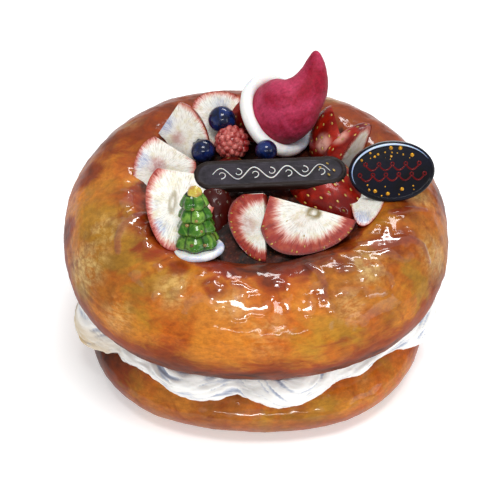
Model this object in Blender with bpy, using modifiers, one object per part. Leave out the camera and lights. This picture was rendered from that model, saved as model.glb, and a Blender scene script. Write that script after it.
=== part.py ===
"""A round Christmas cake: two glazed buns with whipped cream between them.

The upper bun is a ring whose well holds a dark filling heaped with cut
strawberries, blueberries and a raspberry, a sugar hat, a chocolate bar,
an oval plaque and a small green tree. Metres, +Z up, the front at -Y, and
the origin under the middle of the cake.
"""
import math
from typing import NamedTuple

import bmesh
import bpy
from mathutils import Matrix, Vector

MM = 0.001
GAP = 0.35 * MM
MERGE = 0.02 * MM

# Upper bun, a ring of oval section with a flat underside
UPPER_RADIUS = 90 * MM
CREST_RADIUS = 62 * MM
CREST_HEIGHT = 90 * MM
UPPER_UNDERSIDE = 38.4 * MM
WELL_LIP_RADIUS = 50 * MM
WELL_FLOOR_RADIUS = 44 * MM
WELL_FLOOR = 64 * MM
INNER_HALF_WIDTH = 22.1 * MM
UPPER_SWELL = 1.1 * MM
# The bun is squarish in plan: in each quarter, how far it spreads and how
# much its crest rises, in millimetres
UPPER_SPREAD = {"front_right": 4.2, "front_left": 4.0, "back_left": 1.2, "back_right": 0.4}
UPPER_RISE = {"front_right": 0.0, "front_left": 0.0, "back_left": 4.6, "back_right": 2.2}
CREST_SHARE = 0.6

# Lower bun, a flat disc with a round edge
LOWER_RADIUS = 83 * MM
LOWER_HEIGHT = 27 * MM
LOWER_WIDEST = 16 * MM
LOWER_TOP_RADIUS = 66 * MM
LOWER_BASE_RADIUS = 63 * MM
LOWER_SWELL = 0.8 * MM
LOWER_SPREAD = {"front_right": 6.0, "front_left": 5.0, "back_left": 4.0, "back_right": 4.0}

# Whipped cream pressed out between the buns
CREAM_REACH = 77 * MM
CREAM_TOP_INSET = 5.5 * MM
CREAM_FOOT_INSET = 10 * MM
CREAM_RIDGE = 0.55 * MM
CREAM_GAP = 0.5 * MM
# Each lobe: degrees from the front towards +X, half width in degrees,
# how far it pushes out and how far it droops, in millimetres
CREAM_LOBES = (
    (-21, 19, 8.0, 0.0), (9, 18, 9.0, 1.5), (68, 22, 12.0, 4.0), (-45, 15, 3.0, 0.5),
    (-66, 20, 13.0, 7.0), (97, 15, 7.5, 0.0), (120, 15, 9.0, 1.5), (147, 18, 7.0, 0.5),
    (176, 17, 9.0, 2.0), (-153, 18, 8.0, 0.5), (-124, 17, 9.5, 1.5), (-100, 14, 7.0, 0.5),
)
# A dip where the lower bun shows: degrees, half width, depth in millimetres
CREAM_DIP = (32, 13, 3.5)

# Dark filling heaped in the well
FILLING_CROWN = 89.5 * MM
FILLING_EDGE = 80.5 * MM
# Share of the well's sloping wall, from its floor, that the filling covers
FILLING_RISE = 0.88

# The toppings lean back towards the middle of the cake by this much
DISPLAY_LEAN = math.radians(43)

# Steps round the turned pieces, and (steps round, steps down) of the others
BUN_STEPS = 56
CREAM_STEPS = 72
FILLING_STEPS = 40
DISC_STEPS = 26
BAND_STEPS = (26, 7)
BERRY_STEPS = (16, 10)
BLUEBERRY_STEPS = (12, 9)
HAT_STEPS = (22, 13)
TIP_STEPS = (15, 8)
TREE_STEPS = 18
BAR_CORNERS = 22
PLAQUE_CORNERS = 28

# A strawberry narrows towards its tip and is slightly fluted
BERRY_TAPER = 0.27
BERRY_FULLNESS = 0.9
BERRY_FLUTE = 0.03


class Berry(NamedTuple):
    """A cut strawberry: its place, which way it points and how it is cut."""

    name: str
    centre: tuple
    tip: tuple
    face: tuple
    length: float
    width: float
    second: tuple = ()
    stalk: float = 0.12


# Directions are (right, up the lean, out of it); sizes are millimetres
BERRIES = (
    Berry("strawberry_c", (-33.6, -23.6, 95.5), (-0.10, -0.83, 0.54), (0.12, 0.50, 0.85), 48, 31),
    Berry("strawberry_b", (-44.0, 6.0, 91), (-0.50, -0.80, 0.05), (0.10, 0.25, 0.95), 32, 28),
    Berry("strawberry_a", (-36.0, 29.0, 93), (0.75, -0.60, 0.10), (-0.35, -0.15, 0.92), 32, 28, (), 0.2),
    Berry("strawberry_d", (-16.6, 38.6, 96), (0.05, -1.0, 0.10), (0.25, 0.15, 0.95), 28, 27, (), 0.0),
    Berry("strawberry_h", (23.2, -30.4, 100.2), (0.94, -0.27, 0.06), (-0.06, 0.0, 0.99), 42, 44,
          (0.27, 0.95, 0.05), 0.07),
    Berry("strawberry_g", (3.6, -34.2, 93), (0.04, -1.0, 0.05), (-0.20, 0.0, 0.97), 31.5, 33,
          (0.97, 0.05, 0.16), 0.05),
    Berry("strawberry_j", (49.8, -15.0, 90.6), (-0.20, -0.70, 0.68), (0.0, 0.70, 0.70), 32, 15),
    Berry("strawberry_i", (34.6, -4.9, 83.7), (0.66, -0.62, 0.42), (0.0, 0.20, -0.98), 40, 31),
    Berry("strawberry_e", (39.8, 29.8, 91.5), (-0.25, 0.95, 0.10), (0.95, 0.30, 0.05), 32, 31),
    Berry("strawberry_f", (45.6, 16.2, 92.5), (0.50, 0.86, 0.08), (0.80, -0.46, 0.36), 32, 25),
    Berry("strawberry_k", (-19.0, -18.0, 85.5), (0.10, -1.0, 0.20), (0.20, 0.60, -0.75), 26, 19),
    Berry("strawberry_l", (2.0, 45.0, 97), (0.25, 0.60, 0.70), (-0.10, 0.80, -0.40), 30, 27),
    Berry("strawberry_m", (24.0, 50.0, 91.5), (0.90, -0.30, 0.10), (0.10, 0.70, 0.10), 30, 25),
    Berry("strawberry_n", (20.0, 8.5, 82.5), (0.95, 0.25, 0.0), (0.0, -0.73, -0.68), 29, 22),
    Berry("strawberry_o", (-14.0, 6.5, 82.5), (-0.80, -0.40, 0.3), (0.1, -0.73, -0.68), 28, 22),
)

# Round berries: centre and radius in millimetres
BLUEBERRIES = (
    ("blueberry_1", (-16.0, 33.0, 100.2), 6.6, (0.2, 0.95, 0.2)),
    ("blueberry_2", (-24.8, 20.4, 91.3), 5.8, (-0.5, 0.75, 0.4)),
    ("blueberry_3", (4.8, 13.9, 96.6), 5.2, (0.1, 0.95, 0.3)),
    ("blueberry_4", (-31.5, 44.5, 91.5), 6.0, (-0.3, 0.9, 0.3)),
)
RASPBERRY_CENTRE = (-11.2, 22.9, 94.2)
RASPBERRY_RADIUS = 8.4 * MM
DRUPELET = 0.9 * MM

# Sugar hat: a ring band and a bent, bulging point
HAT_CENTRE = (10.0, 35.0, 101.2)
HAT_AXIS = Vector((0.60, -0.33, 0.73)).normalized()
BAND_RADIUS = 18 * MM
BAND_THICKNESS = 3.0 * MM
HAT_TIP = (27.7, 42.5, 132.4)
HAT_BASE_RADIUS = 15.4 * MM
HAT_BULGE = 17.5 * MM
HAT_POINT_RADIUS = 5.0 * MM
# How far the hat runs straight from its foot and from its tip
HAT_FOOT_RUN = 20.7 * MM
HAT_TIP_RUN = 20.2 * MM

# Chocolate bar and oval plaque
BAR_CENTRE = (6.4, -4.4, 97.2)
BAR_SIZE = (69.5 * MM, 15.8 * MM, 4.6 * MM)
BAR_TURN = 0.07
BAR_PITCH = math.radians(15)
PLAQUE_CENTRE = (60.6, -8.0, 102.0)
PLAQUE_SIZE = (38.5 * MM, 27.5 * MM, 3.8 * MM)
PLAQUE_LEAN = math.radians(62)
PLAQUE_TURN = math.radians(3)

# Tree of four tiers on a white disc
TREE_FOOT = (-25.3, -42.6, 88.9)
TREE_AXIS = Vector((-0.06, 0.30, 0.95)).normalized()
TREE_HEIGHT = 25 * MM
# Each tier: height of its hem and its widest radius, in millimetres
TREE_TIERS = ((0.4, 9.4), (7.2, 8.4), (13.0, 7.3), (18.3, 6.0))
TREE_LOBE = 0.09
TREE_BASE_RADIUS = 11.4 * MM
TREE_BASE_THICKNESS = 3.2 * MM
TREE_TIP_RADIUS = 3.1 * MM

COLOURS = {
    "glazed_crust": ((0.48, 0.16, 0.035), 0.3),
    "lower_crust": ((0.50, 0.17, 0.035), 0.4),
    "cream": ((0.93, 0.90, 0.84), 0.5),
    "filling": ((0.055, 0.022, 0.014), 0.35),
    "strawberry": ((0.55, 0.03, 0.025), 0.3),
    "blueberry": ((0.03, 0.05, 0.16), 0.3),
    "raspberry": ((0.50, 0.07, 0.06), 0.4),
    "hat_sugar": ((0.42, 0.02, 0.09), 0.7),
    "white_sugar": ((0.88, 0.87, 0.83), 0.5),
    "dark_chocolate": ((0.05, 0.03, 0.03), 0.4),
    "blue_glaze": ((0.015, 0.02, 0.07), 0.2),
    "green_sugar": ((0.03, 0.28, 0.03), 0.25),
    "yellow_sugar": ((0.80, 0.62, 0.10), 0.4),
}

PART = bpy.data.collections.new("christmas_cake")
CUTTERS = bpy.data.collections.new("cutters")


def clear_scene():
    """Remove what the scene holds and add the two collections."""
    for obj in list(bpy.data.objects):
        bpy.data.objects.remove(obj)
    bpy.context.scene.collection.children.link(PART)
    bpy.context.scene.collection.children.link(CUTTERS)


def point(values):
    """A place given in millimetres, in metres."""
    return Vector(values) * MM


def leaned(direction):
    """A direction (right, up the lean, out of it) in world axes."""
    right, up, out = direction
    rise = math.cos(DISPLAY_LEAN)
    run = math.sin(DISPLAY_LEAN)
    return Vector((right, up * run - out * rise, up * rise + out * run)).normalized()


def facing(tip, face):
    """Axes with Z along tip and X as near to face as it can be."""
    z_axis = Vector(tip).normalized()
    x_axis = Vector(face)
    x_axis = (x_axis - z_axis * x_axis.dot(z_axis)).normalized()
    y_axis = z_axis.cross(x_axis)
    return Matrix((x_axis, y_axis, z_axis)).transposed().to_4x4()


def coloured(obj, slot):
    """Give the object its own plain material."""
    colour, roughness = COLOURS[slot]
    material = bpy.data.materials.new(obj.name + "_" + slot)
    material.use_nodes = True
    shader = material.node_tree.nodes["Principled BSDF"]
    shader.inputs["Base Color"].default_value = (*colour, 1.0)
    shader.inputs["Roughness"].default_value = roughness
    shader.inputs["Metallic"].default_value = 0.0
    obj.data.materials.clear()
    obj.data.materials.append(material)
    return obj


def smooth(obj, degrees=40):
    """Shade round surfaces smooth and keep the cut edges sharp."""
    obj.data.shade_smooth()
    obj.data.set_sharp_from_angle(angle=math.radians(degrees))
    return obj


def add_object(name, mesh, collection=PART):
    """Put a mesh into the cake as one named object."""
    obj = bpy.data.objects.new(name, mesh)
    collection.objects.link(obj)
    return obj


def mesh_from(bm, name):
    """Turn a finished bmesh into a mesh."""
    mesh = bpy.data.meshes.new(name)
    bm.to_mesh(mesh)
    bm.free()
    return mesh


def settle(obj):
    """Apply the object's modifiers to its mesh."""
    bpy.context.view_layer.update()
    depsgraph = bpy.context.evaluated_depsgraph_get()
    mesh = bpy.data.meshes.new_from_object(obj.evaluated_get(depsgraph))
    obj.modifiers.clear()
    obj.data = mesh


def turned(name, profile, steps):
    """Turn a profile of (radius, height) points, top to bottom, round Z."""
    mesh = bpy.data.meshes.new(name)
    corners = [(radius, 0.0, height) for radius, height in profile]
    edges = [(i, i + 1) for i in range(len(corners) - 1)]
    mesh.from_pydata(corners, edges, [])
    obj = add_object(name, mesh)
    screw = obj.modifiers.new("Turn", "SCREW")
    screw.steps = steps
    screw.render_steps = steps
    screw.use_merge_vertices = True
    screw.merge_threshold = MERGE
    settle(obj)
    return obj


def shaped_ball(name, segments, rings, rule):
    """A ball whose points are moved by rule(angle, share of the way down)."""
    bm = bmesh.new()
    bmesh.ops.create_uvsphere(bm, u_segments=segments, v_segments=rings, radius=1.0)
    for vert in bm.verts:
        angle = math.atan2(vert.co.y, vert.co.x)
        down = math.acos(max(-1.0, min(1.0, vert.co.z))) / math.pi
        vert.co = rule(angle, down)
    return add_object(name, mesh_from(bm, name))


def in_quarter(amounts, angle):
    """An amount in metres that peaks in the middle of each quarter."""
    side = "right" if math.cos(angle) >= 0 else "left"
    end = "back" if math.sin(angle) >= 0 else "front"
    return amounts[end + "_" + side] * MM * math.sin(2 * angle) ** 2


def crest_radius(angle):
    """Radius of the upper bun's crest at an angle."""
    return CREST_RADIUS + CREST_SHARE * in_quarter(UPPER_SPREAD, angle)


def outer_half_width(angle):
    """Width of the upper bun's section outside its crest."""
    return UPPER_RADIUS + in_quarter(UPPER_SPREAD, angle) - crest_radius(angle)


def upper_point(angle, slope, out=0.0):
    """A point of the upper bun's oval section, out of it by a distance.

    Slope is 90 degrees on the crest, 0 at the widest and -90 underneath.
    """
    crest = crest_radius(angle)
    half_width = outer_half_width(angle)
    if math.cos(slope) < 0:
        half_width = INNER_HALF_WIDTH + crest - CREST_RADIUS
    half_height = (CREST_HEIGHT - UPPER_UNDERSIDE) / 2
    middle = CREST_HEIGHT - half_height
    if math.sin(slope) > 0:
        half_height += in_quarter(UPPER_RISE, angle)
    swell = 0.55 * math.sin(2 * angle + 0.6) + 0.3 * math.sin(3 * angle + 2.1 + slope)
    swell += 0.25 * math.sin(7 * angle - 1.1 + 2 * slope)
    keep = max(0.0, math.cos(slope)) ** 2 * math.cos(2 * angle) ** 2
    fade = max(0.0, math.sin((slope + math.pi / 2) / 1.22 - 0.55))
    away = UPPER_SWELL * swell * (1 - keep) * min(1.0, fade) + out
    radius = crest + (half_width + away) * math.cos(slope)
    return radius, middle + (half_height + away) * math.sin(slope)


def lower_point(angle, slope, out=0.0):
    """A point of the lower bun's round edge, out of it by a distance."""
    flat, half_height = edge_half(slope)
    swell = 0.6 * math.sin(3 * angle + 0.4) + 0.4 * math.sin(5 * angle + 1.9)
    away = LOWER_SWELL * swell * max(0.0, math.cos(slope)) ** 2 + out
    radius = flat + (LOWER_RADIUS - flat + away) * math.cos(slope)
    radius += in_quarter(LOWER_SPREAD, angle)
    return radius, LOWER_WIDEST + (half_height + out) * math.sin(slope)


def edge_half(slope):
    """Flat radius and height of the lower bun's edge, above or below."""
    if slope >= 0:
        return LOWER_TOP_RADIUS, LOWER_HEIGHT - LOWER_WIDEST
    return LOWER_BASE_RADIUS, LOWER_WIDEST


def plain_edge(slope):
    """The lower bun's even round edge, before it is made uneven."""
    flat, half_height = edge_half(slope)
    return (flat + (LOWER_RADIUS - flat) * math.cos(slope),
            LOWER_WIDEST + half_height * math.sin(slope))


def slopes(start, end, count):
    """Evenly spread slope angles, in radians, from start to end degrees."""
    return [math.radians(start + (end - start) * i / count) for i in range(count + 1)]


def set_ring(obj, section, rows):
    """Move the turned rows to where the section puts them at each angle."""
    for vert in obj.data.vertices:
        radius = math.hypot(vert.co.x, vert.co.y)
        angle = math.atan2(vert.co.y, vert.co.x)
        for slope, nominal in rows:
            if abs(radius - nominal[0]) + abs(vert.co.z - nominal[1]) < MERGE:
                real, height = section(angle, slope)
                vert.co = (real * math.cos(angle), real * math.sin(angle), height)


def plain_oval(slope):
    """The upper bun's even oval section, before it is made uneven."""
    half_width = UPPER_RADIUS - CREST_RADIUS
    if math.cos(slope) < 0:
        half_width = INNER_HALF_WIDTH
    half_height = (CREST_HEIGHT - UPPER_UNDERSIDE) / 2
    return (CREST_RADIUS + half_width * math.cos(slope),
            CREST_HEIGHT - half_height + half_height * math.sin(slope))


def lip_slope():
    """Slope angle, in degrees, at which the ring turns down into the well."""
    return math.degrees(math.acos((WELL_LIP_RADIUS - CREST_RADIUS) / INNER_HALF_WIDTH))


def make_upper_bun():
    """The ring bun with its well."""
    rows = [(slope, plain_oval(slope)) for slope in slopes(lip_slope(), 90, 3)]
    rows += [(slope, plain_oval(slope)) for slope in slopes(90, -90, 12)[1:]]
    well = [(0.0, WELL_FLOOR), (WELL_FLOOR_RADIUS / 2, WELL_FLOOR), (WELL_FLOOR_RADIUS, WELL_FLOOR)]
    under = [(CREST_RADIUS / 2, UPPER_UNDERSIDE), (0.0, UPPER_UNDERSIDE)]
    obj = turned("bun_top", well + [nominal for _, nominal in rows] + under, BUN_STEPS)
    set_ring(obj, upper_point, rows)
    return smooth(coloured(obj, "glazed_crust"))


def make_lower_bun():
    """The flat bun that the cake stands on."""
    rows = [(slope, plain_edge(slope)) for slope in slopes(90, -90, 10)]
    top = [(0.0, LOWER_HEIGHT), (LOWER_TOP_RADIUS / 2, LOWER_HEIGHT)]
    base = [(LOWER_BASE_RADIUS / 2, 0.0), (0.0, 0.0)]
    obj = turned("bun_bottom", top + [nominal for _, nominal in rows] + base, BUN_STEPS)
    set_ring(obj, lower_point, rows)
    return smooth(coloured(obj, "lower_crust"))


def hump(angle, centre, half_width):
    """A smooth bump of height one round the cake, in degrees."""
    away = (angle - centre + 180) % 360 - 180
    if abs(away) > half_width:
        return 0.0
    return math.cos(math.pi / 2 * away / half_width) ** 2


def cream_edge(angle):
    """How far the cream reaches out, and how far it droops, at an angle."""
    degrees = math.degrees(angle) + 90
    plain = CREAM_REACH + in_quarter(UPPER_SPREAD, angle)
    reach = plain - CREAM_DIP[2] * MM * hump(degrees, CREAM_DIP[0], CREAM_DIP[1])
    droop = 0.0
    for centre, half_width, push, sag in CREAM_LOBES:
        size = hump(degrees, centre, half_width)
        reach = max(reach, plain + push * MM * size ** 0.7)
        droop += sag * MM * size
    return reach, droop


def cream_section(angle):
    """Points (radius, height) of the cream's section, top to bottom."""
    reach, droop = cream_edge(angle)
    top_out = reach - CREAM_TOP_INSET - crest_radius(angle)
    top_slope = -math.acos(top_out / outer_half_width(angle))
    foot_out = reach - CREAM_FOOT_INSET - LOWER_TOP_RADIUS - in_quarter(LOWER_SPREAD, angle)
    foot_share = max(0.0, foot_out / (LOWER_RADIUS - LOWER_TOP_RADIUS))
    foot_slope = math.acos(foot_share)
    under = -math.pi / 2
    ceiling = UPPER_UNDERSIDE - CREAM_GAP
    points = [(0.0, ceiling), (CREST_RADIUS / 2, ceiling)]
    for share in (0.0, 0.34, 0.67, 1.0):
        points.append(upper_point(angle, under + (top_slope - under) * share, CREAM_GAP))
    top = points[-1]
    foot = lower_point(angle, foot_slope, CREAM_GAP)
    bulge_rows = 5
    for row in range(1, bulge_rows + 1):
        share = row / (bulge_rows + 1)
        ridge = CREAM_RIDGE * math.sin(9 * angle + 7 * share) * math.sin(math.pi * share)
        swing = math.sin(math.pi * share) ** 0.6
        lean = top[0] + (foot[0] - top[0]) * share
        radius = lean + (reach - lean) * swing + ridge
        height = top[1] + (foot[1] - top[1]) * share - droop * swing
        points.append((radius, height))
    for share in (0.0, 0.5, 1.0):
        slope = foot_slope + (math.pi / 2 - foot_slope) * share
        points.append(lower_point(angle, slope, CREAM_GAP))
    points.append((LOWER_TOP_RADIUS / 2, LOWER_HEIGHT + CREAM_GAP))
    points.append((0.0, LOWER_HEIGHT + CREAM_GAP))
    return points


def make_cream():
    """The ruffled layer of whipped cream."""
    rings = len(cream_section(0.0)) - 1

    def rule(angle, down):
        radius, height = cream_section(angle)[round(down * rings)]
        return radius * math.cos(angle), radius * math.sin(angle), height

    obj = shaped_ball("cream_layer", CREAM_STEPS, rings, rule)
    return smooth(coloured(obj, "cream"))


def make_filling():
    """The dark filling that fills the well up to a low dome."""
    widening = (WELL_LIP_RADIUS - WELL_FLOOR_RADIUS) * FILLING_RISE
    edge_radius = WELL_FLOOR_RADIUS + widening - GAP
    profile = []
    for step in range(5):
        radius = edge_radius * step / 4
        drop = (FILLING_CROWN - FILLING_EDGE) * (step / 4) ** 2
        profile.append((radius, FILLING_CROWN - drop))
    profile.append((WELL_FLOOR_RADIUS - GAP, WELL_FLOOR + GAP))
    profile.append((0.0, WELL_FLOOR + GAP))
    obj = turned("filling", profile, FILLING_STEPS)
    return coloured(obj, "filling")


def cut_flat(bm, place, normal):
    """Slice off what lies past a plane and close the cut."""
    geometry = bm.verts[:] + bm.edges[:] + bm.faces[:]
    result = bmesh.ops.bisect_plane(
        bm, geom=geometry, dist=MERGE, plane_co=place, plane_no=normal, clear_outer=True)
    rim = [item for item in result["geom_cut"] if isinstance(item, bmesh.types.BMEdge)]
    bmesh.ops.holes_fill(bm, edges=rim)


def berry_surface(berry, angle, down):
    """A strawberry's skin: a cone with a round tip and round shoulders."""
    along = math.cos(math.pi * down)
    around = math.sin(math.pi * down) ** BERRY_FULLNESS
    radius = berry.width / 2 * MM * around * (1 - BERRY_TAPER * along)
    radius *= 1 - BERRY_FLUTE + BERRY_FLUTE * math.sin(3 * angle + berry.length)
    return (radius * math.cos(angle), radius * math.sin(angle), berry.length / 2 * MM * along)


def make_strawberry(berry):
    """A strawberry cut lengthwise once or twice, without its stalk."""
    tip = leaned(berry.tip)
    frame = facing(tip, leaned(berry.face))
    obj = shaped_ball(berry.name, *BERRY_STEPS,
                      lambda angle, down: berry_surface(berry, angle, down))
    bm = bmesh.new()
    bm.from_mesh(obj.data)
    stalk_end = Vector((0, 0, -berry.length * MM * (0.5 - berry.stalk)))
    cut_flat(bm, stalk_end, Vector((0, 0, -1)))
    cut_flat(bm, Vector((0, 0, 0)), Vector((1, 0, 0)))
    if berry.second:
        second = leaned(berry.second)
        second = (second - tip * second.dot(tip)).normalized()
        cut_flat(bm, Vector((0, 0, 0)), frame.to_3x3().transposed() @ second)
    bm.to_mesh(obj.data)
    bm.free()
    obj.matrix_world = Matrix.Translation(point(berry.centre)) @ frame
    return smooth(coloured(obj, "strawberry"))


def make_blueberry(name, centre, radius, crown):
    """A blueberry with the shallow star-edged crown at its top."""

    def rule(angle, down):
        along = math.cos(math.pi * down)
        around = math.sin(math.pi * down)
        size = radius * MM
        if down < 0.05:
            along -= 0.22
        elif down < 0.17:
            along += 0.03 + 0.05 * math.cos(5 * angle)
        return size * around * math.cos(angle), size * around * math.sin(angle), size * 0.94 * along

    obj = shaped_ball(name, *BLUEBERRY_STEPS, rule)
    obj.matrix_world = Matrix.Translation(point(centre)) @ facing(crown, (1, 0, 0.1))
    return smooth(coloured(obj, "blueberry"), 60)


def make_raspberry():
    """A raspberry covered in round drupelets."""
    seeds = bmesh.new()
    bmesh.ops.create_icosphere(seeds, subdivisions=2, radius=1.0)
    centres = [vert.co.normalized() for vert in seeds.verts]
    seeds.free()
    bm = bmesh.new()
    bmesh.ops.create_icosphere(bm, subdivisions=3, radius=1.0)
    for vert in bm.verts:
        direction = vert.co.normalized()
        nearest = max(direction.dot(centre) for centre in centres)
        bump = max(0.0, 1 - (math.acos(min(1.0, nearest)) / 0.33) ** 2)
        size = RASPBERRY_RADIUS - DRUPELET * (1 - math.sqrt(bump))
        vert.co = direction * size
    obj = add_object("raspberry", mesh_from(bm, "raspberry"))
    obj.matrix_world = Matrix.Translation(point(RASPBERRY_CENTRE))
    return smooth(coloured(obj, "raspberry"), 70)


def hat_spine(share):
    """A point on the hat's bent middle line, from base to tip."""
    base = point(HAT_CENTRE)
    tip = point(HAT_TIP)
    first = base + HAT_AXIS * HAT_FOOT_RUN
    second = tip - Vector((-0.03, 0.09, 1.0)) * HAT_TIP_RUN
    rest = 1 - share
    return (base * rest ** 3 + first * 3 * rest ** 2 * share
            + second * 3 * rest * share ** 2 + tip * share ** 3)


def make_hat():
    """The bulging hat, bent over towards its round tip."""
    side = HAT_AXIS.cross(Vector((0, 0, 1))).normalized()
    rings = HAT_STEPS[1]

    def rule(angle, down):
        row = round(down * rings)
        if row > rings - 2:
            share, radius = 0.0, HAT_BASE_RADIUS * (rings - row) / 2
        else:
            share = 1 - (row / (rings - 2)) ** 1.4
            swell = math.sin(math.pi * min(1, share * 2.35))
            bulge = HAT_BASE_RADIUS + (HAT_BULGE - HAT_BASE_RADIUS) * swell
            taper = HAT_POINT_RADIUS + (bulge - HAT_POINT_RADIUS) * (1 - share)
            radius = taper * math.sqrt(max(0.0, 1 - share ** 7))
        forward = (hat_spine(min(1, share + 0.02)) - hat_spine(max(0, share - 0.02))).normalized()
        if share == 0.0:
            forward = HAT_AXIS
        across = (side - forward * side.dot(forward)).normalized()
        other = forward.cross(across)
        return hat_spine(share) + (across * math.cos(angle) + other * math.sin(angle)) * radius

    obj = shaped_ball("hat_body", *HAT_STEPS, rule)
    return smooth(coloured(obj, "hat_sugar"))


def make_band():
    """The white ring round the foot of the hat."""
    bpy.ops.mesh.primitive_torus_add(
        major_radius=BAND_RADIUS, minor_radius=BAND_THICKNESS,
        major_segments=BAND_STEPS[0], minor_segments=BAND_STEPS[1])
    obj = bpy.context.object
    for collection in list(obj.users_collection):
        collection.objects.unlink(obj)
    PART.objects.link(obj)
    obj.name = "hat_band"
    obj.matrix_world = Matrix.Translation(point(HAT_CENTRE)) @ facing(HAT_AXIS, (0, 0, 1))
    return smooth(coloured(obj, "white_sugar"))


def make_plate(name, size, straight, segments):
    """A flat plate with a round or oval outline and rounded edges.

    Straight is the share of its length that runs straight between round ends.
    """
    length, width, thickness = size
    bm = bmesh.new()
    bmesh.ops.create_circle(bm, cap_ends=True, segments=segments, radius=1.0)
    end = length * (1 - straight) / 2
    for vert in bm.verts:
        shift = math.copysign(length * straight / 2, vert.co.x)
        vert.co = (vert.co.x * end + shift, vert.co.y * width / 2, -thickness / 2)
    result = bmesh.ops.extrude_face_region(bm, geom=bm.faces[:])
    raised = [item for item in result["geom"] if isinstance(item, bmesh.types.BMVert)]
    bmesh.ops.translate(bm, verts=raised, vec=(0, 0, thickness))
    bmesh.ops.recalc_face_normals(bm, faces=bm.faces[:])
    rims = [edge for edge in bm.edges if abs(edge.verts[0].co.z - edge.verts[1].co.z) < MERGE]
    bmesh.ops.bevel(bm, geom=rims, offset=thickness * 0.28, segments=2, profile=0.5,
                    affect="EDGES", material=-1)
    return add_object(name, mesh_from(bm, name))


def make_bar():
    """The chocolate bar laid across the fruit."""
    straight = 1 - BAR_SIZE[1] / BAR_SIZE[0]
    obj = make_plate("chocolate_bar", BAR_SIZE, straight, BAR_CORNERS)
    turn = Matrix.Rotation(BAR_TURN, 4, "Z") @ Matrix.Rotation(BAR_PITCH, 4, "X")
    obj.matrix_world = Matrix.Translation(point(BAR_CENTRE)) @ turn
    return smooth(coloured(obj, "dark_chocolate"))


def make_plaque():
    """The oval plaque that stands on the ring's crest."""
    obj = make_plate("oval_plaque", PLAQUE_SIZE, 0.0, PLAQUE_CORNERS)
    turn = Matrix.Rotation(PLAQUE_TURN, 4, "Z") @ Matrix.Rotation(PLAQUE_LEAN, 4, "X")
    obj.matrix_world = Matrix.Translation(point(PLAQUE_CENTRE)) @ turn
    return smooth(coloured(obj, "blue_glaze"))


def tree_rows():
    """Height, radius and lobe depth of each row of the tree, top first."""
    rows = [(TREE_HEIGHT, 0.0, 0.0)]
    tiers = list(reversed(TREE_TIERS))
    tops = [TREE_HEIGHT / MM] + [hem + 1.2 for hem, _ in tiers[:-1]]
    for (hem, widest), top in zip(tiers, tops):
        rise = top - hem
        rows.append(((hem + 0.86 * rise) * MM, widest * 0.66 * MM, 0.3 * TREE_LOBE))
        rows.append(((hem + 0.5 * rise) * MM, widest * 0.90 * MM, TREE_LOBE))
        rows.append(((hem + 0.18 * rise) * MM, widest * MM, TREE_LOBE))
        rows.append((hem * MM, widest * 0.86 * MM, TREE_LOBE))
    rows.append((TREE_TIERS[0][0] * MM, 0.0, 0.0))
    return rows


def make_tree():
    """The glossy green tree with its lobed tiers."""
    rows = tree_rows()
    rings = len(rows) - 1

    def rule(angle, down):
        row = round(down * rings)
        height, radius, lobe = rows[row]
        radius *= 1 + lobe * math.cos(6 * angle + 1.3 * (row // 4))
        return radius * math.cos(angle), radius * math.sin(angle), height

    obj = shaped_ball("tree", TREE_STEPS, rings, rule)
    obj.matrix_world = tree_frame()
    return smooth(coloured(obj, "green_sugar"), 60)


def tree_frame():
    """Where the tree stands and how it leans."""
    return Matrix.Translation(point(TREE_FOOT)) @ facing(TREE_AXIS, (1, 0, 0))


def make_tree_base():
    """The white disc under the tree."""
    half = TREE_BASE_THICKNESS / 2
    profile = [(0.0, 0.0), (TREE_BASE_RADIUS - half, 0.0)]
    for slope in (45, 0, -45):
        angle = math.radians(slope)
        edge = TREE_BASE_RADIUS - half + half * math.cos(angle)
        profile.append((edge, half * (math.sin(angle) - 1)))
    profile += [(TREE_BASE_RADIUS - half, -2 * half), (0.0, -2 * half)]
    obj = turned("tree_base", profile, DISC_STEPS)
    obj.matrix_world = tree_frame()
    return smooth(coloured(obj, "white_sugar"))


def make_tree_tip():
    """The yellow knob on the tree."""

    def rule(angle, down):
        size = TREE_TIP_RADIUS * (1 + 0.06 * math.cos(5 * angle))
        around = math.sin(math.pi * down)
        return (size * around * math.cos(angle), size * around * math.sin(angle),
                size * 0.9 * math.cos(math.pi * down))

    obj = shaped_ball("tree_tip", *TIP_STEPS, rule)
    above = Matrix.Translation(Vector((0.6 * MM, -0.8 * MM, TREE_HEIGHT + 0.3 * MM)))
    obj.matrix_world = tree_frame() @ above
    return smooth(coloured(obj, "yellow_sugar"), 60)


def box_of(obj):
    """Lowest and highest corners of an object in the world."""
    corners = [obj.matrix_world @ vert.co for vert in obj.data.vertices]
    low = [min(corner[axis] for corner in corners) for axis in range(3)]
    high = [max(corner[axis] for corner in corners) for axis in range(3)]
    return low, high


def near(one, other):
    """Whether two objects' boxes meet."""
    low_a, high_a = box_of(one)
    low_b, high_b = box_of(other)
    return all(low_a[i] - GAP < high_b[i] and low_b[i] - GAP < high_a[i] for i in range(3))


def swollen(obj):
    """A copy of an object, larger by the gap, to cut its neighbours with."""
    bm = bmesh.new()
    bm.from_mesh(obj.data)
    bm.normal_update()
    moves = [(vert, vert.normal * GAP * min(2.0, vert.calc_shell_factor())) for vert in bm.verts]
    for vert, move in moves:
        vert.co += move
    cutter = add_object("cut_" + obj.name, mesh_from(bm, "cut_" + obj.name), CUTTERS)
    cutter.matrix_world = obj.matrix_world
    cutter.hide_render = True
    cutter.display_type = "WIRE"
    return cutter


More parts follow.
